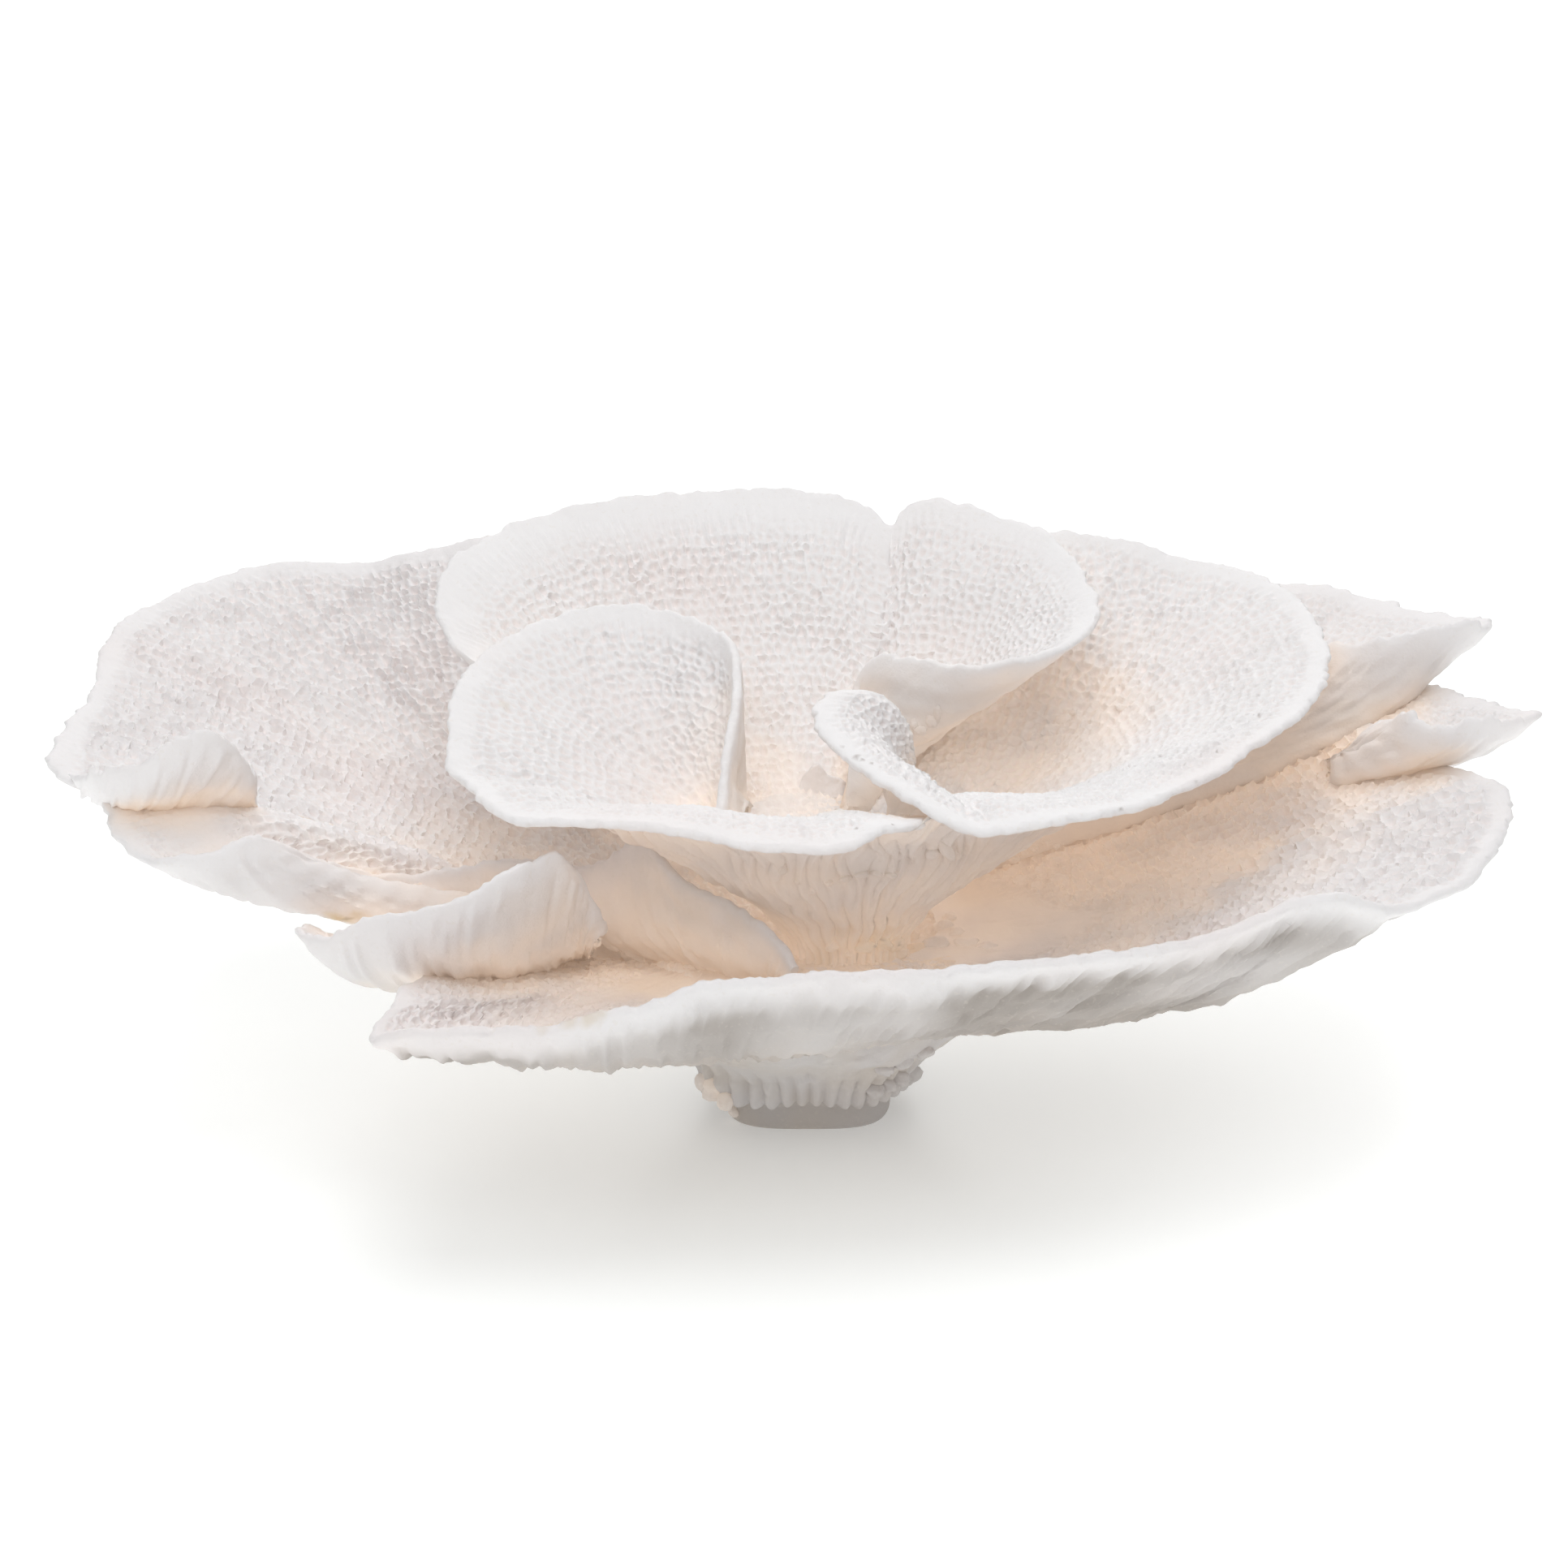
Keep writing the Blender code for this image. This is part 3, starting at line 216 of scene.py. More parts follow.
class Frond:
    """The upper face of one frond, as a function of u along the margin and v out from the root."""

    def __init__(self, spec):
        rim = np.array([seen(row) for row in spec["rim"]])
        rise = [row[3] for row in spec["rim"]]
        self.late = [row[4] if len(row) > 4 else spec["reach"][1] for row in spec["rim"]]
        gaps = np.linalg.norm(np.diff(rim, axis=0), axis=1)
        along = np.concatenate([[0], np.cumsum(gaps)])
        self.stations = along / along[-1]
        first, final = spec.get("part", (0, -1))
        self.low, self.high = self.stations[first], self.stations[final]
        self.length = along[-1] * (self.high - self.low)
        self.ticks = self.stations[(self.stations >= self.low) & (self.stations <= self.high)]
        self.ticks = (self.ticks - self.low) / (self.high - self.low)
        self.rim, self.rise = rim, rise
        root = np.array([seen(row[-4:]) for row in spec["root"]])
        self.root_at = [row[0] for row in spec["root"]]
        self.root, self.root_rise = root, [row[-1] for row in spec["root"]]
        self.reach, self.thick, self.turn = spec["reach"][0], spec["thick"], spec.get("turn", 0.45)

    def ribs(self, u):
        u = self.low + np.clip(u, 0, 1) * (self.high - self.low)
        rim = np.stack([spread(u, self.stations, self.rim[:, i]) for i in range(3)], -1)
        root = np.stack([np.interp(u, self.root_at, self.root[:, i]) for i in range(3)], -1)
        step = 0.012
        ahead = np.stack([spread(np.minimum(u + step, 1), self.stations, self.rim[:, i]) for i in range(2)], -1)
        behind = np.stack([spread(np.maximum(u - step, 0), self.stations, self.rim[:, i]) for i in range(2)], -1)
        way = ahead - behind
        across = np.stack([way[..., 1], -way[..., 0]], -1)
        across /= np.linalg.norm(across, axis=-1, keepdims=True) + 1e-6
        out = rim[..., :2] - root[..., :2]
        out /= np.linalg.norm(out, axis=-1, keepdims=True) + 1e-6
        climb = spread(np.minimum(u + step, 1), self.stations, self.rim[:, 2]) - spread(
            np.maximum(u - step, 0), self.stations, self.rim[:, 2])
        level = np.linalg.norm(way, axis=-1) / (np.hypot(np.linalg.norm(way, axis=-1), climb) + 1e-6)
        share = self.turn * np.clip((across * out).sum(-1, keepdims=True) + 0.4, 0, 1) * level[..., None] ** 2
        turned = across * share + out * (1 - share)
        turned /= np.linalg.norm(turned, axis=-1, keepdims=True) + 1e-6
        rise = np.radians(spread(u, self.stations, self.rise))[..., None]
        base = np.radians(np.interp(u, self.root_at, self.root_rise))[..., None]
        start = np.concatenate([out * np.cos(base), np.sin(base)], -1)
        end = np.concatenate([turned * np.cos(rise), np.sin(rise)], -1)
        span = np.linalg.norm(rim - root, axis=-1, keepdims=True)
        late = np.interp(u, self.stations, self.late)[..., None]
        return root, root + start * span * self.reach, rim - end * span * late, rim

    def top(self, u, v):
        """Points for u and v of one shape."""
        a, b, c, d = self.ribs(u)
        v = v[..., None]
        return a * (1 - v) ** 3 + 3 * b * v * (1 - v) ** 2 + 3 * c * v * v * (1 - v) + d * v ** 3

    def normal(self, u, v):
        e = 0.004
        du = self.top(np.minimum(u + e, 1), v) - self.top(np.maximum(u - e, 0), v)
        dv = self.top(u, np.minimum(v + e, 1)) - self.top(u, np.maximum(v - e, 0))
        n = np.cross(dv, du)
        return n / (np.linalg.norm(n, axis=-1, keepdims=True) + 1e-9)

    def depth(self, v):
        rim, root, power = self.thick
        return rim + (root - rim) * (1 - v) ** power


# The two pieces that the fronds grow from, as (radius, height) up one side and in over the top.
HOLDFAST_AT = (1.0, -1.0)
HOLDFAST = [(FOOT_R, 0), (FOOT_R, FOOT_H), (27, 8), (34, 12.5), (42, 18), (49, 26), (52, 33), (50, 41), (45, 46), (30, 45),
            (10, FLOOR_Z)]
STEM = [(14, FLOOR_Z), (15.5, 50), (20, 57), (28, 66), (35, 75), (33, 78), (24, 78.5), (10, 75)]

# ---------------------------------------------------------------------------------------------------------------------
# Noise and small helpers


def corner(ix, iy, iz, seed):
    n = (ix.astype(np.uint64) * np.uint64(0x9E3779B1) + iy.astype(np.uint64) * np.uint64(0x85EBCA77)
         + iz.astype(np.uint64) * np.uint64(0xC2B2AE3D) + np.uint64(seed * 7919 + 11)) & np.uint64(0xFFFFFFFF)
    n = ((n ^ (n >> np.uint64(15))) * np.uint64(0x2C1B3C6D)) & np.uint64(0xFFFFFFFF)
    n = ((n ^ (n >> np.uint64(12))) * np.uint64(0x297A2D39)) & np.uint64(0xFFFFFFFF)
    n = n ^ (n >> np.uint64(15))
    return (n & np.uint64(0xFFFFF)).astype(np.float64) / 524288.0 - 1.0


def noise(p, size, seed=0):
    """Smooth noise from -1 to 1 over lumps of about this size, in millimetres."""
    q = np.asarray(p, float) / size + 1000.0
    i = np.floor(q).astype(np.int64)
    f = q - i
    f = f * f * (3 - 2 * f)
    total = 0.0
    for a in (0, 1):
        for b in (0, 1):
            for c in (0, 1):
                weight = ((f[..., 0] if a else 1 - f[..., 0]) * (f[..., 1] if b else 1 - f[..., 1])
                          * (f[..., 2] if c else 1 - f[..., 2]))
                total = total + weight * corner(i[..., 0] + a, i[..., 1] + b, i[..., 2] + c, seed)
    return total


def ramp(x, low, high):
    t = np.clip((x - low) / (high - low), 0, 1)
    return t * t * (3 - 2 * t)


def line(x):
    """The same value as a place on a line, for noise along one direction."""
    x = np.asarray(x, float)
    return np.stack([x, np.full_like(x, 3.7), np.full_like(x, 9.1)], -1)


def piece(name, points, faces, stuff, fields=None, flat=False, uv=None):
    mesh = bpy.data.meshes.new(name)
    points = np.asarray(points, np.float64) * 0.001
    faces = np.asarray(faces, np.int64)
    mesh.vertices.add(len(points))
    mesh.vertices.foreach_set("co", points.reshape(-1))
    mesh.loops.add(faces.size)
    mesh.loops.foreach_set("vertex_index", faces.reshape(-1))
    mesh.polygons.add(len(faces))
    mesh.polygons.foreach_set("loop_start", np.arange(0, faces.size, 3))
    mesh.polygons.foreach_set("loop_total", np.full(len(faces), 3))
    mesh.update(calc_edges=True)
    if uv is not None:
        layer = mesh.uv_layers.new(name="OFBake")
        layer.data.foreach_set("uv", np.asarray(uv)[faces.reshape(-1)].reshape(-1))
    for key, values in (fields or {}).items():
        attribute = mesh.attributes.new(key, "FLOAT", "POINT")
        attribute.data.foreach_set("value", np.asarray(values, np.float32))
    mesh.validate()
    mesh.shade_flat() if flat else mesh.shade_smooth()
    made = bpy.data.objects.new(name, mesh)
    bpy.context.scene.collection.objects.link(made)
    mesh.materials.append(stuff)
    return made


def between(a, b, flip=False):
    """Triangles between two rows of points, each a list of (place along, index), in step with each other."""
    faces = []
    i = j = 0
    while i < len(a) - 1 or j < len(b) - 1:
        if j == len(b) - 1 or (i < len(a) - 1 and a[i + 1][0] <= b[j + 1][0]):
            faces.append((a[i][1], b[j][1], a[i + 1][1]))
            i += 1
        else:
            faces.append((a[i][1], b[j][1], b[j + 1][1]))
            j += 1
    faces = np.array(faces, np.int64)
    return faces[:, ::-1] if flip else faces


def rows_of(frond, vs, count, pitch):
    """How many columns each row has: as many as the margin, halved where the ribs draw together."""
    counts = []
    sample = np.linspace(0, 1, 161)
    for v in vs:
        run = frond.top(sample, np.full_like(sample, v))
        length = np.linalg.norm(np.diff(run, axis=0), axis=1).sum()
        counts.append(length)
    made = [count]
    for length in counts[-2::-1]:
        n = made[-1]
        if n % 2 == 0 and n > 12 and length / (n // 2) < pitch * 1.12:
            n //= 2
        made.append(n)
    return made[::-1]


def grid_faces(starts, counts, flip=False):
    """Triangles between rows of a sheet, where a row may have half as many columns as the next."""
    out = []
    for j in range(len(counts) - 1):
        a, b, n, m = starts[j], starts[j + 1], counts[j], counts[j + 1]
        k = np.arange(min(n, m))
        if n == m:
            odd = (k + j) % 2 == 0
            p, q, r, s = a + k, b + k, b + k + 1, a + k + 1
            out.append(np.where(odd[:, None], np.stack([p, q, r], 1), np.stack([p, q, s], 1)))
            out.append(np.where(odd[:, None], np.stack([p, r, s], 1), np.stack([s, q, r], 1)))
        else:
            p, s = a + k, a + k + 1
            q, r, t = b + 2 * k, b + 2 * k + 1, b + 2 * k + 2
            out += [np.stack([p, q, r], 1), np.stack([p, r, s], 1), np.stack([s, r, t], 1)]
    faces = np.concatenate(out)
    return faces[:, ::-1] if flip else faces


# ---------------------------------------------------------------------------------------------------------------------
# Pits: one centre for each cup, in rings that follow the margin, so the cups line up in rays


def cup_centres(frond, across, along, band, rng):
    """Cup centres over a frond, on its upper face: rings that follow the margin, and no two closer than they should be."""
    sample = np.linspace(0, 1, 241)
    vv = np.linspace(0, 1, 121)
    u, v = np.meshgrid(sample, vv, indexing="ij")
    p = frond.top(u, v)
    rib = np.concatenate([np.zeros((241, 1)), np.cumsum(np.linalg.norm(np.diff(p, axis=1), axis=-1), axis=1)], axis=1)
    longest = np.percentile(rib[:, -1], 90)
    rings = max(3, int(longest / along))
    shelf = {}
    centres = []

    def free(q, gap):
        key = tuple(int(math.floor(c / 3.5)) for c in q)
        for a in (-1, 0, 1):
            for b in (-1, 0, 1):
                for c in (-1, 0, 1):
                    for other in shelf.get((key[0] + a, key[1] + b, key[2] + c), ()):
                        if (q[0] - other[0]) ** 2 + (q[1] - other[1]) ** 2 + (q[2] - other[2]) ** 2 < gap * gap:
                            return False
        shelf.setdefault(key, []).append(q)
        return True

    n = None
    for ring in range(rings + 1):
        share = 1 - ring / rings
        v_at = np.array([np.interp(share * rib[k, -1], rib[k], vv) for k in range(0, 241, 4)])
        ring_v = np.interp(sample, sample[::4], v_at)
        run = frond.top(sample, ring_v)
        step = np.concatenate([[0], np.cumsum(np.linalg.norm(np.diff(run, axis=0), axis=1))])
        want = max(3, step[-1] / across)
        if n is None or n > want * 1.22 or n < want * 0.8:
            n = max(3, int(round(want)))
        at_steps = (np.arange(n) + 0.5 * (ring % 2) + rng.normal(0, 0.13, n)) / n
        us = np.interp(np.clip(at_steps, 0, 1) * step[-1], step, sample)
        vs = np.clip(np.interp(us, sample, ring_v) + rng.normal(0, 0.16, n) * along / longest, 0, 1)
        for q in frond.top(us, vs):
            q = tuple(q)
            if free(q, 0.62 * min(across, along)):
                centres.append(q)
    return np.array(centres)


def walls(points, centres, seed):
    """For each point, how far it is from the wall between its two nearest cups, and its cup's own number from 0 to 1."""
    tree = kdtree.KDTree(len(centres))
    for k, q in enumerate(centres):
        tree.insert(q, k)
    tree.balance()
    find = tree.find_n
    gap = np.empty(len(points))
    near = np.empty(len(points))
    own = np.empty(len(points), np.int64)
    for k, q in enumerate(points.tolist()):
        (_, index, a), (_, _, b) = find(q, 2)
        gap[k] = b - a
        near[k] = a
        own[k] = index
    chance = np.random.default_rng(seed).random(len(centres))
    return gap * 0.5, near, chance[own]


# ---------------------------------------------------------------------------------------------------------------------
# How open each place is, from rays against a plain copy of every frond. It sets where the skeleton is painted tan and
# not white: painted shade and glow of the hollows, partly the skeleton's own tan.


def plain(frond, nu=60, nv=24):
    u, v = np.meshgrid(np.linspace(0, 1, nu), np.linspace(0, 1, nv), indexing="ij")
    top = frond.top(u, v)
    low = top - frond.normal(u, v) * frond.depth(v)[..., None]
    index = np.arange(nu * nv).reshape(nu, nv)
    faces = []
    for i in range(nu - 1):
        for j in range(nv - 1):
            quad = (index[i, j], index[i, j + 1], index[i + 1, j + 1], index[i + 1, j])
            faces.append(quad)
            faces.append(tuple(k + nu * nv for k in quad))
    return np.concatenate([top.reshape(-1, 3), low.reshape(-1, 3)]), faces


def forest(fronds):
    points, faces, start = [], [], 0
    for frond in fronds:
        p, f = plain(frond)
        points.append(p)
        faces += [tuple(int(k) + start for k in quad) for quad in f]
        start += len(p)
    points = np.concatenate(points + [np.array([(-600, -600, 0), (600, -600, 0), (600, 600, 0), (-600, 600, 0)])])
    faces.append((start, start + 1, start + 2, start + 3))
    return bvhtree.BVHTree.FromPolygons([Vector(p) for p in points.tolist()], faces)


DIRECTIONS = []
for k in range(40):
    z = 1 - (k + 0.5) / 20.0
    turn = k * math.pi * (3 - math.sqrt(5))
    DIRECTIONS.append(np.array([math.sqrt(1 - z * z) * math.cos(turn), math.sqrt(1 - z * z) * math.sin(turn), z]))
DIRECTIONS = np.array(DIRECTIONS)


def openness(tree, points, normals, reach=90.0, lift=1.5):
    """The share of the half-sphere over each point that is open, each direction weighed by how square it is, and how far
    off what shuts it is."""
    out = np.empty(len(points))
    for k in range(len(points)):
        facing = DIRECTIONS @ normals[k]
        take = facing > 0.08
        got = whole = 0.0
        origin = Vector(points[k] + normals[k] * lift)
        for direction, weight in zip(DIRECTIONS[take], facing[take]):
            hit = tree.ray_cast(origin, Vector(direction), reach)[3]
            whole += weight
            if hit is None:
                got += weight
            else:
                got += weight * 0.55 * (hit / reach)
        out[k] = got / whole
    return out


def lookup(frond, tree, side, nu=36, nv=16, reach=90.0, lift=1.5):
    """Openness over a frond's upper (side 1) or lower (side -1) face, as a function of u and v."""
    us, vs = np.linspace(0.01, 0.99, nu), np.linspace(0.02, 0.985, nv)
    u, v = np.meshgrid(us, vs, indexing="ij")
    top = frond.top(u, v)
    out = frond.normal(u, v)
    if side < 0:
        top = top - out * frond.depth(v)[..., None]
        out = -out
    values = openness(tree, top.reshape(-1, 3), out.reshape(-1, 3), reach, lift).reshape(nu, nv)
    for _ in range(2 if reach > 50 else 1):
        padded = np.pad(values, 1, mode="edge")
        values = (padded[1:-1, 1:-1] * 4 + padded[:-2, 1:-1] + padded[2:, 1:-1] + padded[1:-1, :-2] + padded[1:-1, 2:]) / 8

    def read(u, v):
        a = np.clip((u - us[0]) / (us[1] - us[0]), 0, nu - 1.001)
        b = np.clip((v - vs[0]) / (vs[1] - vs[0]), 0, nv - 1.001)
        i, j = a.astype(int), b.astype(int)
        s, t = a - i, b - j
        return ((values[i, j] * (1 - s) + values[i + 1, j] * s) * (1 - t)
                + (values[i, j + 1] * (1 - s) + values[i + 1, j + 1] * s) * t)
    return read


# ---------------------------------------------------------------------------------------------------------------------
# Materials


def coral_stuff(name, white, hollow_tint, rough):
    """Chalky skeleton: white where open, with a fine porous grain. Its colour also holds painted light: a tan shade
    where shut in (partly the skeleton's own tan), a darker shade in the pits, a shade in tight creases, a grey shade on
    the lower faces, and a painted glow where shut in.
    """
    stuff = bpy.data.materials.new(name)
    stuff.use_nodes = True
    nodes, links = stuff.node_tree.nodes, stuff.node_tree.links
    shader = nodes["Principled BSDF"]
    shader.inputs["IOR"].default_value = 1.45
    shader.inputs["Specular IOR Level"].default_value = 0.25
    shader.inputs["Subsurface Weight"].default_value = SKIN_DEEP
    shader.inputs["Subsurface Radius"].default_value = (1.0, 0.62, 0.42)
    shader.inputs["Subsurface Scale"].default_value = 0.0022
    place = nodes.new("ShaderNodeTexCoord")

    def field(key):
        node = nodes.new("ShaderNodeAttribute")
        node.attribute_name = key
        return node.outputs["Fac"]

    def grain(scale, detail, roughness=0.6):
        node = nodes.new("ShaderNodeTexNoise")
        node.inputs["Scale"].default_value = scale
        node.inputs["Detail"].default_value = detail
        node.inputs["Roughness"].default_value = roughness
        links.new(place.outputs["Object"], node.inputs["Vector"])
        return node.outputs["Fac"]

    def math_of(kind, a, b):
        node = nodes.new("ShaderNodeMath")
        node.operation = kind
        for k, value in enumerate((a, b)):
            if isinstance(value, (int, float)):
                node.inputs[k].default_value = value
            else:
                links.new(value, node.inputs[k])
        return node.outputs[0]

    def spread_of(value, low, high, out_low=0.0, out_high=1.0):
        node = nodes.new("ShaderNodeMapRange")
        node.interpolation_type = "SMOOTHSTEP"
        links.new(value, node.inputs["Value"])
        node.inputs["From Min"].default_value = low
        node.inputs["From Max"].default_value = high
        node.inputs["To Min"].default_value = out_low
        node.inputs["To Max"].default_value = out_high
        return node.outputs["Result"]

    def mixed(share, a, b):
        node = nodes.new("ShaderNodeMix")
        node.data_type = "RGBA"
        links.new(share, node.inputs["Factor"])
        for socket, value in ((node.inputs[6], a), (node.inputs[7], b)):
            if isinstance(value, tuple):
                socket.default_value = (*value, 1)
            else:
                links.new(value, socket)
        return node.outputs[2]

    patches = grain(42.0, 2.0)
    shut = math_of("ADD", field("shut"), spread_of(patches, 0.3, 0.7, -0.09, 0.09))
    # painted shade: tan where shut in, partly the skeleton's own tan
    colour = mixed(spread_of(shut, 0.12, 0.95), white, hollow_tint)
    blush = mixed(spread_of(grain(17.0, 1.0), 0.45, 0.72, 0.0, 0.55), colour, (white[0], white[1] * 0.955, white[2] * 0.94))
    # painted shade: a darker pink in the pit floors
    pits = mixed(math_of("MULTIPLY", field("pit"), 0.6), blush, PAINTED_PIT_SHADE)
    # painted shade: darker in tight creases and where parts meet
    crease_shade_share = mixed(math_of("MULTIPLY", field("tight"), 0.22), pits, (0.80, 0.72, 0.66))
    # painted shade: greyer on the lower faces
    with_underside_shade = mixed(field("under"), crease_shade_share, UNDERSIDE_SHADE)
    stain = mixed(field("stain"), with_underside_shade, (0.66, 0.50, 0.27))
    dark = mixed(field("fleck"), stain, (0.16, 0.09, 0.045))
    speck = spread_of(grain(900.0, 0.0), 0.70, 0.78, 0.0, 0.16)
    last = mixed(speck, dark, (0.80, 0.74, 0.66))
    links.new(last, shader.inputs["Base Color"])
    # painted glow: emission where shut in, which stands in for light that thin plates let through and that passes to
    # and fro between white walls; less of it in tight creases
    shader.inputs["Emission Color"].default_value = (1.0, 0.86, 0.73, 1)
    links.new(math_of("MULTIPLY", spread_of(shut, 0.25, 0.75, 0.0, PAINTED_GLOW), math_of("SUBTRACT", 1.0, math_of("MULTIPLY", field("tight"), 0.8))), shader.inputs["Emission Strength"])
    shader.inputs["Roughness"].default_value = rough
    fine = grain(1500.0, 1.0, 0.7)
    coarse = grain(520.0, 2.0, 0.6)
    height = math_of("ADD", math_of("MULTIPLY", fine, 0.45), coarse)
    bump = nodes.new("ShaderNodeBump")
    bump.inputs["Strength"].default_value = 0.42
    bump.inputs["Distance"].default_value = 0.00045
    links.new(height, bump.inputs["Height"])
    links.new(bump.outputs["Normal"], shader.inputs["Normal"])
    return stuff


# ---------------------------------------------------------------------------------------------------------------------
# Fronds


BUDGET = {
    "lower_back_frond": 12000, "lower_left_frond": 122000, "lower_near_left_frond": 70000, "lower_left_tab": 15000,
    "lower_folded_frond": 34000, "lower_front_frond": 88000, "lower_near_right_frond": 80000, "lower_right_frond": 24000,
    "lower_back_right_frond": 46000, "upper_back_frond": 86000, "upper_ear_frond": 46000, "upper_left_frond": 86000,
    "upper_right_frond": 126000}


def thin(made, budget):
    """Takes out the triangles that show least, down to a budget."""
    now = len(made.data.polygons)
    if now <= budget:
        return
    less = made.modifiers.new("less", "DECIMATE")
    less.ratio = budget / now
    less.use_collapse_triangulate = True
    bpy.context.view_layer.update()
    evaluated = made.evaluated_get(bpy.context.evaluated_depsgraph_get())
    mesh = bpy.data.meshes.new_from_object(evaluated, preserve_all_data_layers=True, depsgraph=bpy.context.evaluated_depsgraph_get())
    made.modifiers.clear()
    old = made.data
    made.data = mesh
    mesh.name = made.name
    bpy.data.meshes.remove(old)
    print("thinned", made.name, now, "to", len(mesh.polygons))


def crisp(made):
    """Keeps the corner of a cut sheet from being shaded round, so the surface looks whole across the cut."""
    work = bmesh.new()
    work.from_mesh(made.data)
    for edge in work.edges:
        if len(edge.link_faces) == 2 and edge.calc_face_angle(0.0) > 1.05:
            edge.smooth = False
    work.to_mesh(made.data)
    work.free()


def told(name, faces):
    """Prints whether a mesh is closed and its faces all turn the same way."""
    ends = np.concatenate([faces[:, [0, 1]], faces[:, [1, 2]], faces[:, [2, 0]]])
    size = int(ends.max()) + 1
    way = ends[:, 0] * size + ends[:, 1]
    back = ends[:, 1] * size + ends[:, 0]
    print("mesh", name, "triangles", len(faces), "twice", len(way) - len(np.unique(way)), "open", int((~np.isin(way, back)).sum()))


# Per frond, among the rest: the share of painted shade in tight creases and of painted grey shade on the lower faces.
BASE = dict(pitch=0.62, under=(1.25, 1.7), across=2.8, along=3.25, depth=1.55, band=(2.5, 8.0), ridge=0.17, ridge_to=16.0,
            rill=0.14, ring=0.20, swell=0.8, serrate=0.8, smooth=None, underside_shade_share=0.30, knots=0.35, crease_shade_share=1.0, bend=None,
            taper=0.0, seed=1)
LOOK = {
    "lower_back_frond": dict(pitch=0.85, under=(1.8, 2.4), seed=2),
    "lower_left_frond": dict(pitch=0.64, under=(1.6, 2.2), across=3.0, along=3.55, depth=2.35, band=(2.5, 9.0), ridge_to=22.0, swell=1.1, crease_shade_share=0.6, seed=3),
    "lower_near_left_frond": dict(band=(2.0, 7.0), under=(0.95, 1.2), across=3.0, along=3.55, depth=1.8, rill=0.45, underside_shade_share=0.10, crease_shade_share=0.6,
                                  bend=(20.0, 12.0), seed=3),
    "lower_left_tab": dict(pitch=0.5, under=(0.55, 0.65), depth=0.6, swell=0.5, serrate=1.5, rill=0.55, ring=0.1, underside_shade_share=0.05, crease_shade_share=0.35,
                           taper=9.0, seed=5),
    "lower_folded_frond": dict(crease_shade_share=0.6, taper=5.0, under=(0.7, 0.8), band=(2.0, 6.0), rill=0.50, ring=0.12, underside_shade_share=0.10, swell=0.6, serrate=0.8, seed=6),
    "lower_front_frond": dict(underside_shade_share=0.88, under=(0.8, 1.0), band=(2.5, 6.0), across=3.1, depth=1.6, seed=7, rill=0.60, knots=0.8,
                              smooth=(62.0, 80.0)),
    "lower_near_right_frond": dict(underside_shade_share=1.2, under=(0.8, 1.0), across=3.2, along=3.6, depth=2.75, band=(2.5, 6.0), seed=7,
                                   rill=0.62, knots=0.8, crease_shade_share=0.7, smooth=(92.0, 120.0)),
    "lower_right_frond": dict(pitch=0.58, under=(0.7, 0.9), serrate=1.6, rill=0.45, swell=0.6, underside_shade_share=0.15, crease_shade_share=0.6,
                              taper=12.0, seed=9),
    "lower_back_right_frond": dict(pitch=0.72, under=(0.95, 1.4), serrate=1.3, rill=0.35, underside_shade_share=0.15, seed=10),
    "upper_back_frond": dict(depth=1.25, band=(7.0, 20.0), ridge=0.30, ridge_to=46.0, along=3.3, under=(1.4, 1.8), seed=11),
    "upper_ear_frond": dict(depth=1.25, band=(4.0, 12.0), ridge=0.24, ridge_to=30.0, along=3.3, under=(0.9, 1.2), seed=11),
    "upper_left_frond": dict(depth=1.15, band=(2.5, 9.0), ridge_to=18.0, under=(0.9, 1.2), seed=13),
    "upper_right_frond": dict(band=(2.5, 8.0), under=(1.0, 1.4), seed=14),
}


